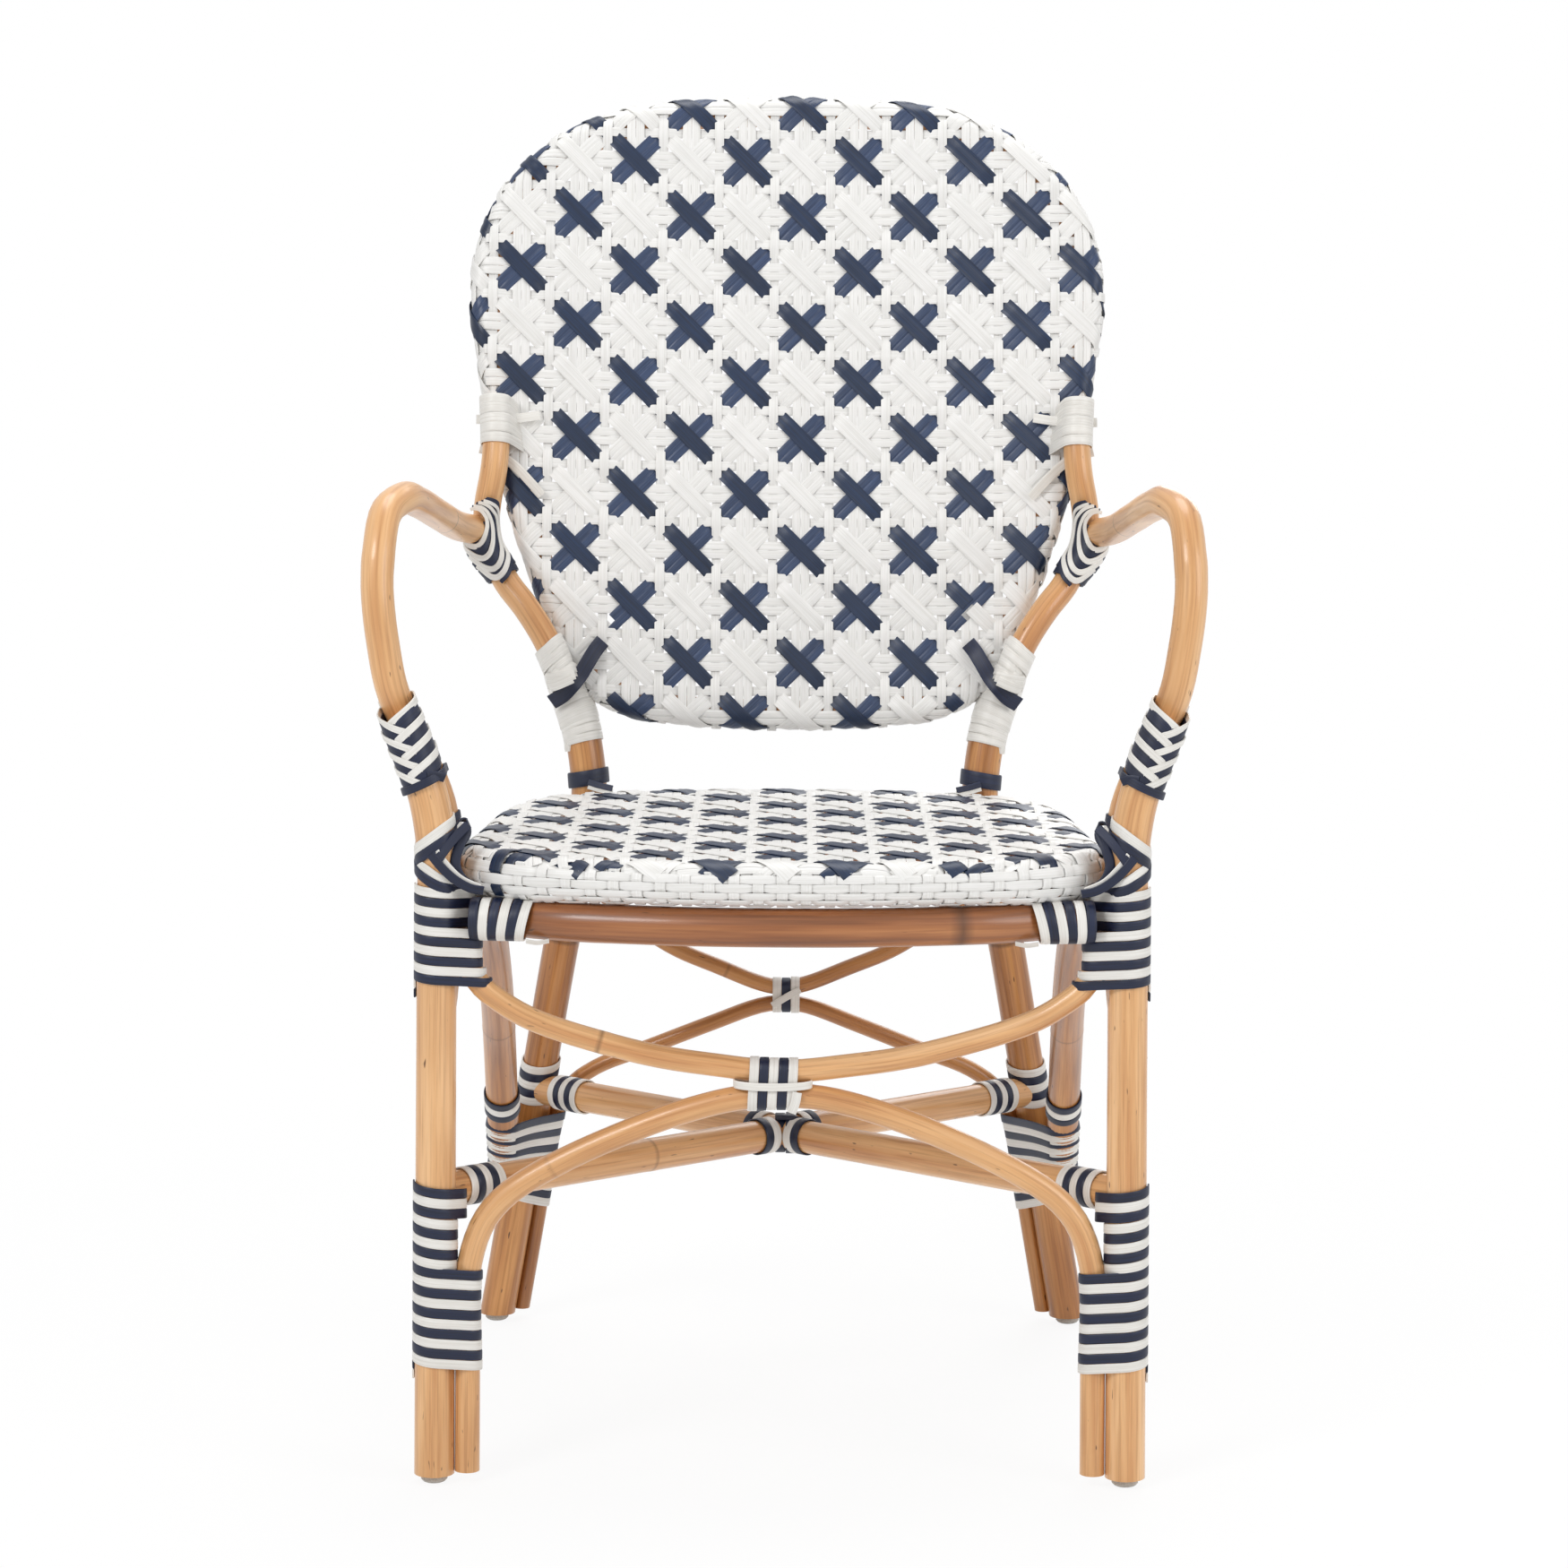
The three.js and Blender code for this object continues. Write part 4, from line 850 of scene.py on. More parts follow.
# %% One strand of the flat pattern
LAYER = 0.98                    # from one layer of the pattern to the next
STRAND_THICK = 0.92 * LAYER
SUNK = 4                        # from the rim's outside down to the pattern's lowest layer
SURE_PAST = 14                  # a strand has to come within this distance past the inset line
TURN_PAST = 17                  # beyond this one, only strands that cross the rim squarely go on


def weave_strand(lay, panel, start, along, span, height, width, number, stop, crease=0.0,
                 crossing=0.0,
                 step=5.2, where=None):
    """Lays one straight strand of the flat pattern where it is on the panel or its rim.
    height: its level by place; stop: how far past the inset line it may reach, if not to the
    panel's own reach; crossing: how squarely it has to cross the rim to go on round it."""
    along = np.array(along, float)
    side = np.array([along[1], -along[0]])
    places = np.arange(span[0], span[1], step)
    centre = np.array(start)[None] + places[:, None] * along[None]
    past, _, outward = panel.nearest(centre)
    limit = panel.reach if stop is None else stop
    slant = np.abs((outward * along[None]).sum(axis=1))
    keep = (past < limit) & ((past < TURN_PAST) | (slant > crossing))
    if where is not None:
        keep &= where(centre)
    inside = np.flatnonzero(keep & (past < SURE_PAST))
    if len(inside) < 2:
        return
    first, last = inside[0], inside[-1]
    while first > 0 and keep[first - 1]:
        first -= 1
    while last < len(keep) - 1 and keep[last + 1]:
        last += 1
    places, centre = places[first:last + 1], centre[first:last + 1]
    across, high = ribbon_section(width, STRAND_THICK, crease)
    spots = centre[:, None, :] + across[None, :, None] * side[None, None, :]
    lift = (panel.rim - SUNK + height(places))[:, None] + high[None, :]
    folded, _ = panel.fold(spots.reshape(-1, 2), lift.reshape(-1))
    lay.add(folded.reshape(len(places), len(across), 3), across, number=number)


# %% The whole pattern
LATTICE, PAIR = 0.165, 0.158    # widths of a lattice strand and of a pair's, as shares of a cell
PAIR_FILL, GAP, GAP_FILL = 0.97, 0.53, 1.03
DIAGONAL_STEP, DIAGONAL_CREASE = 4, 0.34
COLOURS = ("lattice", "pairs", "navy", "slate", "white_under", "white_over")


def weave_panel(panel, cell, middle, ranges, bold, stop=None, crossing=0.0, plain_part=None):
    """middle: that of a navy cross; bold: the share of a cell that a diagonal is wide;
    plain_part: tells where the navy diagonals are white. Lays by colour."""
    lays = {key: Lay() for key in COLOURS}
    random = np.random.default_rng(7)
    lines = [range(int((low - start) / size) - 1, int((high - start) / size) + 2)
             for (low, high), start, size in zip(ranges, middle, cell)]
    pair = PAIR * cell[0]
    for way, lattice_top, pair_low in ((0, 4, 2), (1, 3, 1)):
        run = 1 - way
        span = [end - middle[run] for end in ranges[run]]

        def straight(key, place, low, high, width):
            start = [middle[0], middle[1]]
            start[way] = place
            weave_strand(lays[key], panel, start, (way, run), span,
                         lambda s: wave(s, cell[run], low * LAYER, high * LAYER, 8, 5), width,
                         random.random(),
                         stop, crossing=crossing)

        for index in lines[way]:
            straight("lattice", middle[way] + (index + 0.5) * cell[way], 1, lattice_top,
                     LATTICE * cell[way])
            for offset in (-0.5, 0.5):
                straight("pairs", middle[way] + index * cell[way] + offset * pair, pair_low, 2.9,
                         pair * PAIR_FILL)
    size = math.hypot(*cell)
    down, up = (cell[0] / size, -cell[1] / size), (cell[0] / size, cell[1] / size)
    reach = sum(high - low for low, high in ranges)
    count = len(lines[0]) + len(lines[1]) + 2
    gap = GAP * bold * cell[0]
    for m in range(-count, count + 1):
        navy = m % 2 == 0
        split = navy and plain_part is not None
        cross_at = middle[0] + m * cell[0]
        for plain in (False, True) if split else (not navy,):
            where = (lambda spots: plain_part(spots) == plain) if split else None
            over = lays["white_over" if plain else "navy"]
            under = lays["white_under" if plain else "slate"]
            weave_strand(over, panel, (cross_at, middle[1]), down, (-reach, reach),
                         lambda s: wave(s, size, 4 * LAYER, 1.7 * LAYER, 16, 4), bold * cell[0],
                         random.random(),
                         stop, crease=DIAGONAL_CREASE, where=where, step=DIAGONAL_STEP)
            for offset in (-0.5, 0.5):
                start = (cross_at + offset * gap * up[1], middle[1] - offset * gap * up[0])
                weave_strand(under, panel, start, up, (-reach, reach),
                             lambda s: wave(s, size, 3 * LAYER, 0.9 * LAYER, 16, 4), gap * GAP_FILL,
                             random.random(), stop, where=where, step=DIAGONAL_STEP)
    return lays


def on_plain_white(spots):
    """The lower corners of the back, where the diagonals are white instead of navy."""
    return (np.abs(spots[:, 0]) > 137) & (spots[:, 1] < 96)
SEAT_CELL, BACK_CELL = (42.6, 46), (43.9, 44.3)
seat_panel = Panel(seat_outline, SEAT_RIM, on_seat, 56, corner=(200, 30, 5, 60))
back_panel = Panel(back_outline, BACK_RIM, on_back, 50)
SEAT_STOP = 19                  # the seat's pattern ends here, under the rows of its rim
seat_lays = weave_panel(seat_panel, SEAT_CELL, (-43.6, -48.5), ((-290, 290), (-150, 470)), 0.34,
                        SEAT_STOP, 0.5)
back_lays = weave_panel(back_panel, BACK_CELL, (11.5, 140.6), ((-330, 330), (-70, 590)), 0.275,
                        plain_part=on_plain_white)

# %% [markdown]
# ### The rims
# Round the rim the strands lie close together and square to the edge. On the seat five rows run
# round it, each of them over three of the short strands and under the fourth. Both are laid by
# their distance along the edge, so the count of short strands is a multiple of four.

# %% Close strands and rows round the rims
ROW_THICK = 0.9
HIDDEN, SHOWN = 2.0, 3.7        # heights of a row under a short strand and over one


class Rim:
    def __init__(self, panel, spacing):
        self.panel = panel
        self.line = np.vstack([panel.line, panel.line[:1]])
        self.outward = np.vstack([panel.outward, panel.outward[:1]])
        self.far = distances(self.line)
        self.count = 4 * round(self.far[-1] / spacing / 4)
        self.spacing = self.far[-1] / self.count

    def at(self, mark):
        near = np.array([np.interp(mark, self.far, self.line[:, k]) for k in (0, 1)])
        out = np.array([np.interp(mark, self.far, self.outward[:, k]) for k in (0, 1)])
        return near, out / np.linalg.norm(out)

    def lay_folded(self, lay, spots, side, height, width, closed, number):
        across, high = ribbon_section(width, ROW_THICK)
        flat = spots[:, None, :] + side[:, None, :] * across[None, :, None]
        lift = (self.panel.rim - SUNK + height)[:, None] + high[None, :]
        folded, _ = self.panel.fold(flat.reshape(-1, 2), lift.reshape(-1))
        lay.add(folded.reshape(len(spots), len(across), 3), across, closed=closed, number=number)


def rim_strands(lay, rim, marks, first, last, width, height, step=3.2, number=0.0):
    """Short strands square to the edge. height: their level by distance past the inset line and
    by number."""
    for index, mark in enumerate(marks):
        near, out = rim.at(mark)
        past = np.arange(first, last, step)
        side = np.broadcast_to([out[1], -out[0]], (len(past), 2))
        rim.lay_folded(lay, near[None] + past[:, None] * out[None], side, height(past, index),
                       width, False,
                       number + 0.071 * index)


def rim_rows(lay, rim, rows, width):
    """Rows that run round the rim, over three short strands and under one."""
    line, outward = rim.line[:-1], rim.outward[:-1]
    for number, past in enumerate(rows):
        under_at = 2 * rim.spacing * (number % 2)
        height = wave(rim.far[:-1] - under_at, 4 * rim.spacing, HIDDEN, SHOWN, 3.2, 8)
        rim.lay_folded(lay, line + outward * past, outward, height, width, True, 0.31 * number)


ROW_STEP, FIRST_ROW, STRAND_LOW = 6.5, 20.4, 1.4
seat_rows = [FIRST_ROW + ROW_STEP * k for k in range(5)]


def seat_strand_height(past, index):
    """Every second short strand stays under all rows, the others come up over every second row."""
    if index % 2:
        return STRAND_LOW + 0 * past
    over_row = ROW_STEP * (index // 2 % 2)
    over = wave(past - FIRST_ROW - over_row, 2 * ROW_STEP, SHOWN, HIDDEN, 1.6, 1.6)
    return np.where(past < SURE_PAST, STRAND_LOW, over)


def evenly(rim):
    return [index * rim.spacing for index in range(rim.count)]


seat_rim, back_rim = Rim(seat_panel, 8.0), Rim(back_panel, 8.6)
rim_lay, back_rim_lay = Lay(), Lay()
rim_rows(rim_lay, seat_rim, seat_rows, 6.3)
rim_strands(rim_lay, seat_rim, evenly(seat_rim), 9, 55, 7.7, seat_strand_height)
corner_mark = min((mark for mark in evenly(seat_rim) if seat_rim.at(mark)[0][1] < 60),
                  key=lambda mark: abs(seat_rim.at(mark)[0][0] + 183))
rim_strands(seat_lays["navy"], seat_rim, [corner_mark], -2, 39, 10.5,
            lambda past, _: np.where((past < 24) | (past > 30.5), 4.5, 1.8), step=2.2, number=0.3)
rim_strands(back_rim_lay, back_rim, evenly(back_rim), 0, 50, 8.3,
            lambda past, index: 0.5 + 0.5 * (index % 2) + 0 * past)
print("short strands round the seat", seat_rim.count, "and the back", back_rim.count)

for key in COLOURS:
    strand_slot = "navy_strand" if key in ("navy", "slate") else "white_strand"
    back_finish = {"navy": navy_finish, "slate": slate_finish}.get(key, white_finish)
    seat_finish = navy_finish if key == "slate" else back_finish
    seat_lays[key].make("seat_" + key, seat_finish, strand_slot, ["seat_weave"])
    back_lays[key].make("back_" + key, back_finish, strand_slot, ["back_weave"])
rim_lay.make("seat_rim_rows", white_finish, "white_strand", ["seat_weave"])
back_rim_lay.make("back_rim_strands", white_finish, "white_strand", ["back_weave"])

# %% [markdown]
# ## Wind the joints
# Each joint is wound with flat strips that are pulled tight round all the poles in it. A tight
# strip follows the outline of the poles where it touches them and runs straight between. So a slice
# is taken through the poles, the tight loop round the slice's circles is found, and a strip is laid
# along such loops, sinking a little with every turn, as one unbroken strip.

# %% Slices and tight loops
def unit(vector):
    vector = np.asarray(vector, float)
    return vector / np.linalg.norm(vector)


ALL_ROUND = np.linspace(0, 2 * math.pi, 241)
ROUND_WAYS = np.stack([np.cos(ALL_ROUND), np.sin(ALL_ROUND)], axis=1)


def tight_loop(circles, stand=0):
    """Once round a slice's circles, stand away from them, and how far along each place is."""
    best = (ROUND_WAYS @ circles[:, :2].T + circles[:, 2][None]).argmax(axis=1)
    flat = circles[best, :2] + ROUND_WAYS * (circles[best, 2] + stand)[:, None]
    return flat, distances(flat)


class Bundle:
    """Poles that a strip is wound round. guide: the run that the winding follows; start_side:
    the side where a turn starts."""

    def __init__(self, guide, poles, start_side=(-1, 0, 0)):
        line, spare = even(guide, 3), 40
        start = line[0] - unit(line[1] - line[0]) * spare
        end = line[-1] + unit(line[-1] - line[-2]) * spare
        self.guide = np.vstack([[start], line, [end]])
        self.far = distances(self.guide) - spare
        self.poles = [(even(run, 3), radius) for run, radius in poles]
        self.start_side = np.array(start_side, float)

    def frame(self, station):
        origin, ahead, behind = (
            np.array([np.interp(place, self.far, self.guide[:, k]) for k in range(3)])
            for place in (station, station + 5, station - 5))
        along = unit(ahead - behind)
        first = unit(self.start_side - along * (self.start_side @ along))
        return origin, along, first, np.cross(along, first)

    def circles(self, station):
        """Where the poles cut the slice at a station; poles further off than 60 mm are left out."""
        origin, along, first, second = self.frame(station)
        found = []
        for run, radius in self.poles:
            side = (run - origin) @ along
            spots = []
            for index in np.flatnonzero(side[:-1] * side[1:] <= 0):
                a, b = side[index], side[index + 1]
                t = a / (a - b) if a != b else 0
                spots.append(run[index] + (run[index + 1] - run[index]) * t)
            spot = min(spots, key=lambda p: np.linalg.norm(p - origin), default=None)
            if spot is not None and np.linalg.norm(spot - origin) < 60:
                found.append(((spot - origin) @ first, (spot - origin) @ second, radius))
        return np.array(found or [(0, 0, self.poles[0][1])]), origin, first, second

    def loop(self, station, count):
        """Places once round the tight loop, evenly spaced, with the outward side of each."""
        circles, origin, first, second = self.circles(station)
        flat, far = tight_loop(circles)
        marks = np.linspace(0, far[-1], count + 1)[:-1]
        spots = np.stack([np.interp(marks, far, flat[:, k]) for k in (0, 1)], axis=1)
        turned = np.interp(marks, far, ALL_ROUND)
        normal = np.cos(turned)[:, None] * first + np.sin(turned)[:, None] * second
        return origin + spots[:, :1] * first + spots[:, 1:] * second, normal


def alone(run, radius, **options):
    """A bundle of one pole."""
    return Bundle(run, [(run, radius)], **options)
def lay_strip(lay, places, normals, width, thick, number, closed=False):
    """Sweeps a strip along the line of its top. normals: its outward side; width may differ along
    it."""
    if closed:
        ahead = np.roll(places, -1, axis=0) - np.roll(places, 1, axis=0)
    else:
        ahead = np.gradient(places, axis=0)
    ahead /= np.linalg.norm(ahead, axis=1)[:, None]
    side = np.cross(normals, ahead)
    side /= np.linalg.norm(side, axis=1)[:, None]
    across, high = ribbon_section(1.0, thick)
    widths = np.broadcast_to(width, len(places))
    aside = across[None, :] * widths[:, None]
    section = (places[:, None, :] + side[:, None, :] * aside[:, :, None]
               + normals[:, None, :] * high[None, :, None])
    lay.add(section, across * float(np.mean(widths)), closed=closed, number=number)


# %% A surface to wind on
def evened(table, times):
    """Evens out a table's steps from row to row, in place."""
    for _ in range(times):
        table[1:-1] = (table[:-2] + 2 * table[1:-1] + table[2:]) / 4


LOOP_STEP = 3.0         # from one loop of a surface to the next


class Wrap:
    """The tight surface round a bundle from one station to another, as loops of count places."""

    def __init__(self, bundle, low, high, count=72):
        self.low, self.count = low, count
        loops = [bundle.loop(mark, count) for mark in np.arange(low, high + LOOP_STEP, LOOP_STEP)]
        self.spots = np.stack([spots for spots, _ in loops])
        self.ways = np.stack([ways for _, ways in loops])
        chords = self.spots - np.roll(self.spots, 1, axis=1)
        self.girths = np.linalg.norm(chords, axis=2).sum(axis=1)


    def hold(self, toward):
        """Marks on every loop the share that faces a direction, to count millimetres from."""
        self.anchor = (self.ways @ unit(toward)).argmax(axis=1) / self.count
        evened(self.anchor, 6)

    def share_at(self, stations, out_by):
        """The share of the way round that is out_by millimetres from the held line."""
        row = (np.asarray(stations, float) - self.low) / LOOP_STEP
        rows = np.arange(len(self.girths))
        return np.interp(row, rows, self.anchor) + out_by / np.interp(row, rows, self.girths)

    def place(self, stations, shares, lift):
        """Places on the surface and their outward sides, by station and share of the way round."""
        row = np.clip((np.asarray(stations, float) - self.low) / LOOP_STEP, 0,
                      len(self.spots) - 1.001)
        column = (np.asarray(shares, float) % 1) * self.count
        i, j = row.astype(int), column.astype(int) % self.count
        s, t = (row - i)[:, None], (column - column.astype(int))[:, None]
        k = (j + 1) % self.count

        def between(table):
            return ((table[i, j] * (1 - t) + table[i, k] * t) * (1 - s)
                    + (table[i + 1, j] * (1 - t) + table[i + 1, k] * t) * s)

        ways = between(self.ways)
        ways /= np.linalg.norm(ways, axis=1)[:, None]
        return between(self.spots) + ways * np.broadcast_to(lift, len(i))[:, None], ways


def ring(lay, wrap, station, width, thick, lift, tilt=0.0, toward=0.25, number=0.0):
    """One closed turn. tilt moves the side that toward names up along the bundle."""
    shares = np.arange(wrap.count) / wrap.count
    spots, ways = wrap.place(station + tilt * np.cos(2 * math.pi * (shares - toward)), shares, lift)
    lay_strip(lay, spots, ways, width, thick, number, closed=True)


STRIP = 1.1                     # usual thickness of a binding's strip
LINING, LINING_LOWER = 0.6, 1   # a lining's thickness, and how much lower it lies


def new_lays():
    return {"W": Lay(), "N": Lay()}


def ring_row(bundle, start, band, colours, thick=STRIP, lift=1.5, tilts=0, toward=0.25, share=0.96,
             lined=False):
    """Closed turns side by side, in the given colours from the start on. Between two turns of one
    colour a thin ring closes the gap from beneath; if lined, a white one lies under every gap."""
    lays = new_lays()
    tilts = np.broadcast_to(tilts, len(colours))
    reach = np.abs(tilts).max() + band
    wrap = Wrap(bundle, start - reach, start + band * len(colours) + reach)
    for index, colour in enumerate(colours):
        ring(lays[colour], wrap, start + band * (index + 0.5), band * share, thick, lift,
             tilts[index], toward, 0.13 * index + 0.4)
        if index and (lined or colour == colours[index - 1]):
            between = (tilts[index - 1] + tilts[index]) / 2
            ring(lays["W" if lined else colour], wrap, start + band * index, band, LINING,
                 lift - LINING_LOWER,
                 between, toward, 0.2)
    return lays


STRIPS = {"W": ("white", binding_white, "white_strand"), "N": ("navy", dark_finish, "navy_strand")}


def make_lays(name, lays, nodes):
    for colour, lay in lays.items():
        if lay.count:
            tag, material, slot_name = STRIPS[colour]
            lay.make(name + "_" + tag, material, slot_name, nodes)


def merge(lays, extra):
    """Adds one binding's strips to another's."""
    for colour, lay in extra.items():
        whole = lays[colour]
        whole.faces += [tuple(corner + whole.count for corner in face) for face in lay.faces]
        whole.points += lay.points
        whole.marks += lay.marks
        whole.count += lay.count


def mirror_lay(lay):
    """The same lay on the other side of the chair, with its faces turned back outward."""
    twin = Lay()
    twin.points = [points * np.array([-1, 1, 1]) for points in lay.points]
    twin.faces = [tuple(reversed(face)) for face in lay.faces]
    twin.marks, twin.count = [mark + (0, 0.21, 0.45) for mark in lay.marks], lay.count
    return twin


def make_pair(name, lays, node):
    """Makes the left binding and its mirrored twin."""
    make_lays(name + "_left", lays, [node + "_left"])
    make_lays(name + "_right", {key: mirror_lay(lay) for key, lay in lays.items()},
              [node + "_right"])


# %% [markdown]
# ## Front leg bindings
# Two strips, navy and white, are wound side by side as one helix from the top down. Each turn takes
# in the poles that stand in the joint at its height: the leg alone, the leg and the end of the
# stretcher, or the leg with the foot of the arch.

# %% Wind the front legs
AROUND = 56                     # places in a turn
WINDING_THICK, WINDING_STAND, WINDING_FILL = 1.3, 1.8, 0.95


def wind(lay, poles_from, top, pitch, turns, number):
    """One unbroken helix. The poles in a turn are chosen by the height at which the turn starts."""
    places, normals = [], []
    for mark in range(turns * AROUND + 1):
        share = mark / AROUND
        height = top - pitch * share
        poles = poles_from(top - pitch * int(share + 1e-6))
        spots = [(at_height(run, height), radius) for run, radius in poles]
        circles = np.array([(-spot[0], -spot[1], radius) for spot, radius in spots])
        flat, far = tight_loop(circles, WINDING_STAND)
        at = (share % 1) * far[-1]
        turned = np.interp(at, far, ALL_ROUND)
        places.append((-np.interp(at, far, flat[:, 0]), -np.interp(at, far, flat[:, 1]), height))
        normals.append((-math.cos(turned), -math.sin(turned), 0))
    lay_strip(lay, np.array(places), np.array(normals), pitch / 2 * WINDING_FILL, WINDING_THICK,
              number)


def upright(x, y):
    return np.array([(x, y, 0), (x, y, 500)], float)


left_arch = lower_brace_run[:len(lower_brace_run) // 2]
left_bow = upper_brace_run[:len(upper_brace_run) // 2]
arm_tail = arm_run[len(arm_run) // 2:]
front_leg, arm_pole, outer_pole = (front_leg_run, LEG), (arm_tail, ARM), (post_run, POST)
stretcher_end, rail_end = (upright(-228, 5), 7.5), (upright(-220.5, 12), 7)
STRETCHER_UNTIL, ARCH_FROM, RAIL_UNTIL = 197, 159, 396      # heights where a pole leaves or joins


def lower_poles(start):
    if start > STRETCHER_UNTIL:
        return [front_leg, stretcher_end]
    return [front_leg] + ([(left_arch, FRONT_ARCH)] if start < ARCH_FROM else [])


def upper_poles(start):
    return [front_leg, arm_pole, rail_end if start > RAIL_UNTIL else (left_bow, FRONT_BOW)]


for label, poles, top, pitch, turns, order in (("lower", lower_poles, 212.1, 14.25, 9, "NW"),
                                               ("upper", upper_poles, 420.7, 13.5, 5, "WN")):
    for place, colour in enumerate(order):
        lay = Lay()
        wind(lay, poles, top - place * pitch / 2, pitch, turns, 0.2 + place / 2)
        tag, material, slot_name = STRIPS[colour]
        for side, side_lay in (("left", lay), ("right", mirror_lay(lay))):
            node = label + "_binding_" + tag + "_" + side
            side_lay.make(node + "_strip", material, slot_name, [node])

# %% [markdown]
# ## Plaited arm wraps
# Above the seat the front leg and the arm are held by a plait. White strips come round from the
# right and from the left in turn, and the inner end of each dips under the next, so a spine of them
# runs down the front. Navy strips lie beneath and show between. A navy collar closes the plait at
# its foot.

# %% Strips over one pole and through open space
SEEN = 0.9      # share of a pole's half width; past it a line is rolled on round the pole


def over_pole(run, radius, line, lift):
    """line: places (x, z) seen from the front. Places on the pole and the outward side of each."""
    run = even(run, 1)
    flat = run[:, [0, 2]]
    ahead = np.gradient(flat, axis=0)
    ahead /= np.linalg.norm(ahead, axis=1)[:, None]
    near = ((line[:, None, :] - flat[None]) ** 2).sum(axis=2).argmin(axis=1)
    across = np.stack([ahead[near, 1], -ahead[near, 0]], axis=1)
    away = ((line - flat[near]) * across).sum(axis=1)
    full = radius + lift
    turn = np.where(np.abs(away) < SEEN * full, np.arcsin(np.clip(away / full, -SEEN, SEEN)),
                    np.sign(away) * (math.asin(SEEN) + (np.abs(away) - SEEN * full) / full))
    ways = np.stack([across[:, 0] * np.sin(turn), -np.cos(turn), across[:, 1] * np.sin(turn)],
                    axis=1)
    places = run[near] + ways * full
    for table in (places, ways):
        evened(table, 5)
    return places, ways / np.linalg.norm(ways, axis=1)[:, None]


def spline_line(points, step=2.0):
    """An even line through a few places seen from the front."""
    run = even(smooth([(x, 0, z) for x, z in points]), step)
    return run[:, [0, 2]]


def free_strip(lay, points, middle, width, thick, number):
    """A strip through open space: its outward side points away from the place called middle."""
    run = even(smooth(points), 2)
    ways = run - np.asarray(middle, float)
    aheads = [unit(ahead) for ahead in np.gradient(run, axis=0)]
    ways -= np.array([(way @ ahead) * ahead for way, ahead in zip(ways, aheads)])
    ways /= np.linalg.norm(ways, axis=1)[:, None]
    lay_strip(lay, run, ways, width, thick, number)


# %% Plait the arm wraps
def station_at(run, height):
    run = even(run, 3)
    return distances(run)[np.abs(run[:, 2] - height).argmin()]


# For each side: its sign, how steeply a strip starts, how high it climbs, its widths and its tone.
PLAIT_SIDES = ((1, 0.44, 12, {"W": 5.3, "N": 9.2}, 0.6), (-1, 0.85, 15, {"W": 4.8, "N": 8.2}, 0.1))


def plait(lays, wrap, first, step, count, lift, lowest):
    """White strips from the right and the left in turn, each inner end under the next; navy ones
    lie beneath. first: the station of the topmost; lowest: the station by share where it ends."""
    for index in range(count):
        side, slope, rise, broad, number = PLAIT_SIDES[index % 2]
        for colour, station, begin in (("N", first - step * (index + 1), -1),
                                       ("W", first - step * index, -6.8)):
            out_by = np.concatenate([np.arange(begin, 30, 1.5), np.linspace(30, 66, 16)])
            bent = np.where(out_by < 0, slope * out_by, rise * np.tanh(slope * out_by / rise))
            seen = station + bent > lowest(wrap.share_at(station + bent, side * out_by))
            if seen.sum() < 4:
                continue
            out_by, bent = out_by[seen], bent[seen]
            raised = 1.0 - 0.95 * ease((-1 - out_by) / 2.6) if colour == "W" else 0
            spots, ways = wrap.place(station + bent, wrap.share_at(station + bent, side * out_by),
                                     lift + raised)
            lay_strip(lays[colour], spots, ways, broad[colour], STRIP, 0.17 * index + number)


leg_taper = smooth([(-263, 0, 538), (-267, 5, 552), (-270, 13, 566), (-271, 20, 582),
                    (-272, 24, 600)])
leg_and_arm = Bundle(front_leg_run, [front_leg, arm_pole, (leg_taper, 12.6)])
wrap_low, wrap_high = station_at(front_leg_run, 486), station_at(front_leg_run, 537)
plait_top, plait_low = station_at(front_leg_run, 555), station_at(front_leg_run, 496)
arm_surface = Wrap(leg_and_arm, wrap_low - 16, wrap_high + 38, count=144)
for table in (arm_surface.spots, arm_surface.ways):
    evened(table, 4)
arm_surface.hold((-0.22, -1, 0))
arm_lays = new_lays()
COLLAR_UP, COLLAR_TILT, COLLAR_TOWARD = 7, 3.2, 0.45
PLAIT_COUNT = 8


def collar_station(share):
    return wrap_low + COLLAR_UP + COLLAR_TILT * np.cos(2 * math.pi * (share - COLLAR_TOWARD))


plait(arm_lays, arm_surface, plait_top, (plait_top - plait_low) / (PLAIT_COUNT - 1), PLAIT_COUNT,
      1.2,
      collar_station)
ring(arm_lays["N"], arm_surface, wrap_low + COLLAR_UP, 5.8, 1.6, 2.9, tilt=COLLAR_TILT,
     toward=COLLAR_TOWARD,
     number=0.8)
free_strip(arm_lays["N"], [(-243, -15, 499), (-237.5, -13, 499.4), (-231.5, -9.5, 497)],
           (-240, 20, 500), 6, 1.2, 0.35)
make_pair("arm_wrap", arm_lays, "arm_wrap")

# %% [markdown]
# ## Lashings drawn from the front
# Some lashings cross one pole at a slant in single strips. They are drawn as lines seen from the
# front and laid on the pole: what reaches past its edge is rolled on round it.

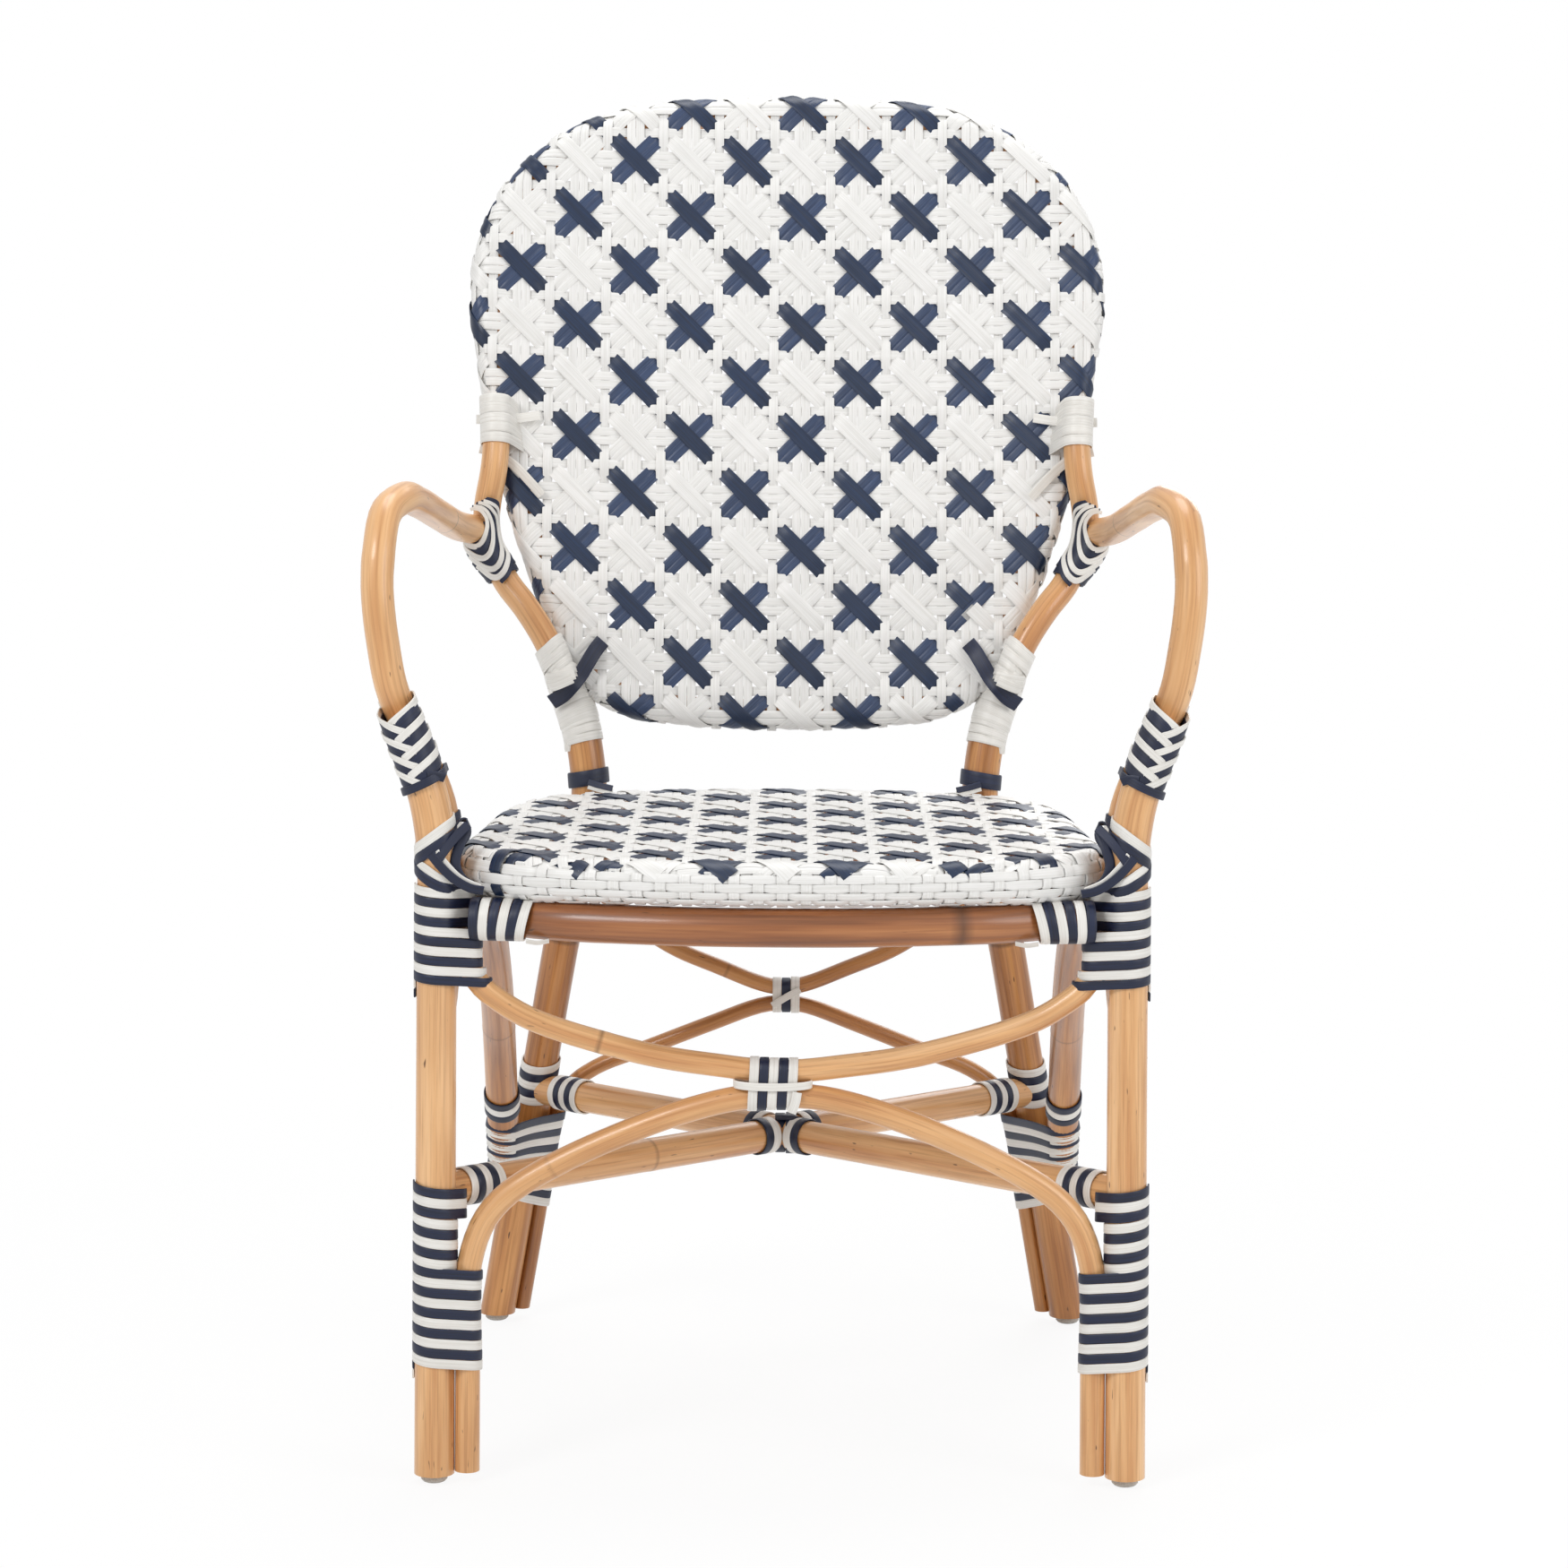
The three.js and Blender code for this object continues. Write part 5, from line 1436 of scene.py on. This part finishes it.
# %% Lash the seat's front corners
corner_lays = new_lays()
corner_lines = [
    ("W", [(-270, 441), (-256, 446), (-240, 457), (-227, 466), (-214, 471)], 7.2, 1.6),
    ("N", [(-270, 434), (-256, 438.5), (-240, 448.5), (-227, 457), (-214, 462)], 7.4, 1.9),
    ("W", [(-268, 449), (-256, 440), (-247, 436), (-236, 429), (-224, 423), (-212, 420)], 6.4, 1.7),
    ("N", [(-270, 440), (-257, 434.5), (-248, 429.5), (-234, 422.5), (-219, 419.5), (-208, 420)],
     7.0, 2.3),
]
for number, (colour, line, width, lift) in enumerate(corner_lines):
    places, ways = over_pole(front_leg_run, LEG, spline_line(line), lift)
    lay_strip(corner_lays[colour], places, ways, width, 1.2, 0.2 * number)
seat_side = (-225, 60, 442)
for colour, points, width in (
        ("W", [(-238, -15.6, 447), (-231, -16, 438), (-221, -15.5, 428), (-208, -14, 421.5)], 6.4),
        ("N",
         [(-241, -16.5, 445.5), (-234, -17.4, 437), (-225, -17.2, 428.5), (-214, -16, 422),
          (-205, -14, 420)], 6.4),
        ("N",
         [(-217, -4, 462), (-222, -9, 450), (-224.5, -11, 438), (-220, -12, 428), (-209, -12, 421)],
         7),
        ("N", [(-216, -6, 465), (-226, -12.5, 455), (-233, -16.2, 446), (-236.5, -17, 441)], 6.4),
        ("N",
         [(-229, -5, 456), (-227, 2, 463), (-222.5, 8, 467), (-217.5, 9, 466), (-216, 3, 459),
          (-220, -6, 452)], 7.4)):
    free_strip(corner_lays[colour], points, seat_side if len(points) < 6 else (-221, 4, 457), width,
               1.3, 0.37)
make_pair("corner_tie", corner_lays, "corner_tie")

arm_foot = arm_tail[::-1]
make_pair("side_tie",
          ring_row(Bundle(arm_foot, [arm_pole]), station_at(arm_foot, 450), 6, "NWN", tilts=2.5,
                               toward=0.5), "side_tie")

# %% [markdown]
# ## Where the arm meets the back pole
# The arm comes towards the viewer from the outer back pole. White strips run round its root in
# nested arcs that are narrow and close together above the arm and grow wider below it. Navy strips
# lie beneath and show between them, and plain navy turns cover the pole under both.

# %% Lash the arm joints
joint_lays = new_lays()
ROOT = np.array([-237, 648.5])
JOINT_LINES = [
    [(-6.8, 13), (-1, 13.2), (3.6, 9.9), (6.5, 3.1), (6, -3.1), (3.6, -10.4), (-0.5, -15.5),
     (-6.2, -15.8), (-12, -13), (-18, -8)],
    [(-4.2, 15.8), (2.6, 14.4), (7.8, 8.9), (10.4, 1), (11.2, -7.3), (10.4, -16.7), (6.5, -23.8),
     (0, -24.6), (-8.3, -20.8), (-15, -15.5)],
    [(-0.5, 17.9), (6.8, 15.8), (12.5, 9.4), (15.1, 0), (16.9, -10.4), (18.2, -21.9), (15.6, -29.5),
     (10.9, -33.2), (5.2, -32.6), (-1, -29.2), (-8, -24)],
    [(3.6, 19), (10.4, 17.2), (15.6, 11.5), (18.5, 2.1), (20.8, -8.3), (22.9, -18.8), (22.6, -27.1),
     (19.4, -35), (14.5, -39.6), (9.4, -39.2), (5.2, -36.5), (-2, -31)],
    [(6, 21.3), (12.8, 19), (18, 12.4), (21, 2.5), (23.3, -8.3), (25.3, -18.8), (25.5, -28),
     (23, -37), (17, -43)],
]
KNOB, KNOB_LOW = 13.2, 604      # radius of the thickened root and the height of its foot
ARC_PLACES = 70
swell = ease((post_run[:, 2] - 612) / 16)[:, None]
knob_run = post_run + swell * np.array([-4.6, -3.5, 0])
joint_lines = []
for points in JOINT_LINES:
    line = spline_line([ROOT + point for point in points], 1)
    joint_lines.append(line[np.linspace(0, len(line) - 1, ARC_PLACES).round().astype(int)])


def arc(colour, line, lift, width, number):
    """width: one width, or five along the arc."""
    places, ways = over_pole(knob_run, KNOB, line, lift)
    if np.ndim(width):
        width = np.interp(np.linspace(0, 1, ARC_PLACES), [0, 0.3, 0.6, 0.8, 1], width)
    lay_strip(joint_lays[colour], places, ways, width, STRIP, number)


for index, (line, after) in enumerate(zip(joint_lines, joint_lines[1:])):
    arc("W", line, 2.3, [2.6, 3.0, 4.2, 4.9, 4.9], 0.23 * index)
    arc("N", (line + after) / 2, 1.3, [3.0, 4.4, 7.6, 8.6, 8.6], 0.19 * index)
arc("N", joint_lines[-1], 1.5, 3, 0.7)
post_only = Bundle(post_run, [outer_pole])
knob_low, post_low = station_at(knob_run, KNOB_LOW), station_at(post_run, KNOB_LOW)
joint_wrap = Wrap(alone(knob_run, KNOB), knob_low - 10, knob_low + 80)
for index in range(7):
    ring(joint_lays["N"], joint_wrap, knob_low + 12 + 6.2 * index, 6.4, 0.9, 0.6,
         number=0.3 * index)
collar = Wrap(post_only, post_low - 10, post_low + 30)
ring(joint_lays["N"], collar, post_low + 8.5, 5.6, 1.5, 2.6, tilt=1.6, toward=0.8, number=0.9)
make_pair("arm_joint_wrap", joint_lays, "arm_joint_wrap")

# %% [markdown]
# ## Shoulders of the back
# White strips hold the outer pole, the rear leg and the rim of the back together. A wide navy
# strand slants over them and goes on into the weave.

# %% Wrap the shoulders
rear_upper_part = rear_leg_run[len(rear_leg_run) // 2:]
shoulder = Bundle(rear_upper_part, [(rear_upper_part, LEG), outer_pole])
shoulder_start = station_at(rear_upper_part, 479)
shoulder_lays = ring_row(shoulder, shoulder_start, 6.3, "W" * 6, tilts=np.linspace(0.6, 2.4, 6),
                         toward=0.5,
                         share=1.02)
merge(shoulder_lays,
      ring_row(shoulder, shoulder_start + 16.2, 7.4, "W" * 8, toward=0.5, lift=2.0, share=1.1,
                              tilts=[1.4, 1.8, 2.6, 3.4, 4.0, 4.6, 5.2, 5.8]))
merge(shoulder_lays,
      ring_row(post_only, station_at(post_run, 545), 8, "WW", tilts=3, toward=0.5, lift=2.2))
for height in (527, 534):
    across_post = spline_line([(-184, height - 2), (-173, height), (-162, height + 2)])
    places, ways = over_pole(post_run, POST, across_post, 2.9)
    lay_strip(shoulder_lays["W"], places, ways, 8.4, 1.0, 0.01 * height)
sash = [(-181, 364.5, 512.5), (-172, 359, 518.5), (-164.5, 356.2, 526.5)] + [
    on_back(*place)
    for place in ((-158.5, 38.5, 24), (-152.5, 49, 24.2), (-146.5, 59.5, 22.4), (-141.5, 67, 17.5))]
free_strip(shoulder_lays["N"], sash, (-160, 520, 545), 12, 1.3, 0.5)
tail = [(-166, 366, 484), (-168.5, 366.5, 479), (-168, 367.5, 474)]
free_strip(shoulder_lays["W"], tail, (-150, 440, 480), 5.5, 1.0, 0.8)
make_pair("shoulder_wrap", shoulder_lays, "shoulder_wrap")

hoop_line, _ = inset_outline(back_outline, BACK_RIM)
hoop_side = hoop_line[(hoop_line[:, 0] < 0) & (hoop_line[:, 1] > 150) & (hoop_line[:, 1] < 330)]
hoop_side = on_back(hoop_side[:, 0], hoop_side[:, 1], 0)
hoop_side = hoop_side[np.argsort(hoop_side[:, 2])]
post_and_rim = Bundle(post_run, [outer_pole, (hoop_side, 13.4)])
post_lays = ring_row(post_and_rim, station_at(post_run, 707), 7.4, "W" * 5,
                     tilts=[3, 3.5, 3, 3.6, 3.2],
                     toward=0.1, lift=1.9, share=1.06)
for number, line in enumerate((((-238, 215), (-226, 212), (-212, 203), (-199, 190), (-190, 180)),
                               ((-241, 238), (-226, 238), (-208, 240), (-192, 243)))):
    free_strip(post_lays["W"],
               [on_back(x, rise, 20.6 - 0.9 * abs(k - 1.5)) for k, (x, rise) in enumerate(line)],
               (-200, 520, 700), 7.4, STRIP, 0.3 + 0.4 * number)
make_pair("upper_post_wrap", post_lays, "upper_post_wrap")
collar_lays = ring_row(alone(rear_upper_part, LEG), station_at(rear_upper_part, 448), 12.5, "N",
                       thick=1.5,
                       lift=2.2, tilts=1.4, toward=0.5)
for colour, drop in (("W", 3.2), ("N", 0)):
    points = [(-152, 354, 452 - drop), (-143, 352.5, 449.5 - drop), (-133, 350, 447.6 - drop)]
    free_strip(collar_lays[colour], points, (-140, 420, 430), 4.6, 1.0, 0.6)
make_pair("post_collar", collar_lays, "post_collar")

# %% [markdown]
# ## Rear legs and stretchers
# Low on each rear leg, turns of white and navy take in the leg, the foot of the arch and the end of
# the side brace. Thin white turns line the gaps between them. Above that the leg and the brace each
# have a few turns of their own. Both stretchers wear a collar of five turns near each end.

# %% Bind the rear legs
rear_lower_part = rear_leg_run[:len(rear_leg_run) // 2]
left_rear_arch = rear_lower_run[:len(rear_lower_run) // 2]
rear_leg, side_pole = (rear_lower_part, LEG), (side_brace_run, SIDE_BRACE)
rear_start, REAR_BAND, REAR_TURNS = station_at(rear_lower_part, 104), 6.9, 12
rear_lays = ring_row(Bundle(rear_lower_part, [rear_leg, (left_rear_arch, REAR_BRACE), side_pole]),
                     rear_start,
                     REAR_BAND, "WN" * (REAR_TURNS // 2), tilts=6, toward=0.12, share=1.0,
                     lined=True)
merge(rear_lays,
      ring_row(alone(*rear_leg), rear_start + REAR_TURNS * REAR_BAND + 7, 6.7, "WNWNW", tilts=-3,
                          toward=0.12))
merge(rear_lays,
      ring_row(alone(*side_pole), station_at(side_brace_run, 203) - 10, 8.2, "NWN", thick=1.2,
                          lift=1.7))
make_pair("rear_binding", rear_lays, "rear_binding")

# %% Collars of the stretchers
FROM_FRONT, FROM_REAR = 40, 43      # from a stretcher's ends to the middles of its collars
for node, run, far_end in (("front_left", lower_lap_run, False),
                           ("rear_right", lower_lap_run, True),
                           ("front_right", upper_lap_run, False),
                           ("rear_left", upper_lap_run, True)):
    centre = distances(run)[-1] - FROM_REAR if far_end else FROM_FRONT
    bundle = alone(run, STRETCHER, start_side=(0, 0, 1))
    make_lays("stretcher_collar_" + node,
              ring_row(bundle, centre - 15.5, 6.3, "WNWNW", thick=1.2, lift=1.8),
              ["stretcher_collar_" + node])
# %% [markdown]
# ## Ties at the middle
# Where the bow and the arch meet, bands in turn white and navy go round both. In front one white
# strip is drawn across the bands and round behind the arch. The crossed stretchers get two broad
# navy turns over their lap, and a white and a navy ring on each of their four arms.

# %% Ties of the braces
GUIDE_HALF = 60                 # a straight guide through the middle reaches this far to each side


def across_middle(y, height):
    return np.array([[x, y, height] for x in np.linspace(-GUIDE_HALF, GUIDE_HALF, 21)])


def tie(upper, lower, radii, colours, band, shift, tilt=0.0):
    """Bands round the two poles where they meet at the middle, and the height of that place."""
    top, low = upper[len(upper) // 2], lower[len(lower) // 2]
    height = (top[2] + low[2]) / 2
    bundle = Bundle(across_middle(top[1], height), list(zip((upper, lower), radii)),
                    start_side=(0, 0, 1))
    start = GUIDE_HALF + shift - band * len(colours) / 2
    return ring_row(bundle, start, band, colours, tilts=tilt, toward=0.0), height


TIE_SHIFT = -6
front_lays, height = tie(upper_brace_run, lower_brace_run, (FRONT_BOW, FRONT_ARCH), "WNWNW", 6.75,
                         TIE_SHIFT, 0.9)
angles = np.linspace(0, 2 * math.pi, 73)[:-1]
turn_x, turn_y = np.cos(angles), np.sin(angles)
belt = np.stack([TIE_SHIFT + 27.5 * np.sign(turn_x) * np.abs(turn_x) ** 0.8,
                 -12.6 * np.sign(turn_y) * np.abs(turn_y) ** 0.45,
                 height - 0.5 + 1.2 * turn_x ** 2], axis=1)
belt_ways = np.stack([turn_x * 0.5, -turn_y, 0 * angles], axis=1)
belt_ways /= np.linalg.norm(belt_ways, axis=1)[:, None]
lay_strip(front_lays["W"], belt, belt_ways, 5.6, STRIP, 0.9, closed=True)
free_strip(front_lays["W"],
           [(11, -12.5, height - 4), (9.5, -12.2, height - 12), (7, -10.5, height - 19)],
           (9, 40, height - 10), 6.4, 1.0, 0.77)
make_lays("front_tie", front_lays, ["front_tie"])
rear_lays, height = tie(rear_upper_run, rear_lower_run, (REAR_BRACE, REAR_BRACE), "WNW", 7.2, 2)
back_y = rear_upper_run[len(rear_upper_run) // 2][1]
rear_slant = [(-9, back_y - 9.4, height - 7), (2, back_y - 10, height),
              (13, back_y - 9.4, height + 6)]
free_strip(rear_lays["W"], rear_slant, (2, back_y + 60, height), 5.6, 1.0, 0.7)
make_lays("rear_tie", rear_lays, ["rear_tie"])
# %% Bind the crossed stretchers
CROSS_Y, CROSS_HEIGHT = 237.1, 201.97
CENTRE_BAND, ARM_RING, ARM_RING_STEP = 8, 17.5, 7.6
lap_poles = [(lower_lap_run, STRETCHER), (upper_lap_run, STRETCHER)]
cross_bundle = Bundle(across_middle(CROSS_Y, CROSS_HEIGHT), lap_poles, start_side=(0, 0, 1))
cross_lays = ring_row(cross_bundle, 62.5 - CENTRE_BAND, CENTRE_BAND, "NN", lift=2.6)
for run, radius in lap_poles:
    bundle = alone(run, radius, start_side=(0, 0, 1))
    even_run = even(run, 2)
    crossing = distances(even_run)[np.abs(even_run[:, 0]).argmin()]
    for side in (-1, 1):
        for index, colour in enumerate("WN"):
            station = crossing + side * (ARM_RING + ARM_RING_STEP * index)
            ring(cross_lays[colour], Wrap(bundle, station - 6, station + 6), station, 7.4, STRIP,
                 1.7,
                 number=0.2 * index)
free_strip(cross_lays["N"], [(-4, 222, 216), (10, 219, 216), (22, 217, 213), (31, 216, 208)],
           (8, 240, 180), 5,
           STRIP, 0.3)
make_lays("cross_binding", cross_lays, ["cross_binding"])

# %% [markdown]
# ## Rail bindings
# Near each front leg six turns, navy and white, slant round the seat rail. They lean more from turn
# to turn.

# %% Bind the seat rail
front_rail = rail_run[(rail_run[:, 1] < 40) & (rail_run[:, 0] < -100)]
rail_turn = front_rail[np.abs(front_rail[:, 0] + 168).argmin()]
rail_guide = np.linspace(rail_turn + (-50, 3, 0), rail_turn + (12, -3, 0), 14)
rail_bundle = alone(rail_guide, RAIL, start_side=(0, 0, 1))
rail_lays = ring_row(rail_bundle, 3.5, 6.8, "NW" * 3, tilts=[0.2, 1.0, 1.8, 2.6, 3.2, 3.6],
                     toward=0.0)
rail_end_line = [rail_turn + (-8, -13, -13.6), rail_turn + (0, -13.5, -14.6),
                 rail_turn + (8, -12, -13.4)]
free_strip(rail_lays["W"], rail_end_line, rail_turn, 4.6, 1.0, 0.2)
print("rail turns at", np.round(rail_turn, 1))
make_pair("rail_binding", rail_lays, "rail_binding")
# %% [markdown]
# ## Feet
# Each foot ends in a small domed glide of pale grey plastic: a disc that is extruded and widened
# upwards in three steps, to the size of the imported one.

# %% Glides
glide_plastic = plain_finish("glide_plastic", 900, 3,
                             [(0.35, linear(176, 170, 162)), (0.65, linear(204, 200, 192))], 0.5,
                             0.15, 0.0002)
GLIDE_FOOT = 0.0065             # metres: radius of the flat underside
# Metres up on the step before, and growth on it.
GLIDE_STEPS = ((0.0006, 1.2), (0.0016, 1.19), (0.0036, 1.0))


def glide(node):
    low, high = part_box(node)
    centre = ((low[0] + high[0]) / 2, (low[1] + high[1]) / 2)
    deselect()
    bpy.ops.mesh.primitive_circle_add(vertices=40, radius=GLIDE_FOOT, fill_type="NGON",
                                      location=(*centre, low[2]))
    bpy.ops.object.transform_apply(location=True)
    piece = bpy.context.active_object
    piece.name = node + "_cap"
    bpy.ops.object.mode_set(mode="EDIT")
    for lift, grow in GLIDE_STEPS:
        bpy.ops.mesh.extrude_region_move(TRANSFORM_OT_translate={"value": (0, 0, lift)})
        bpy.ops.transform.resize(value=(grow, grow, 1), center_override=(*centre, 0))
    bpy.ops.mesh.select_all(action="SELECT")
    bpy.ops.mesh.normals_make_consistent(inside=False)
    bpy.ops.object.mode_set(mode="OBJECT")
    finish_piece(piece, glide_plastic, [node], angle=30)


for end in ("front", "rear"):
    for side in ("left", "right"):
        glide(end + "_glide_" + side)
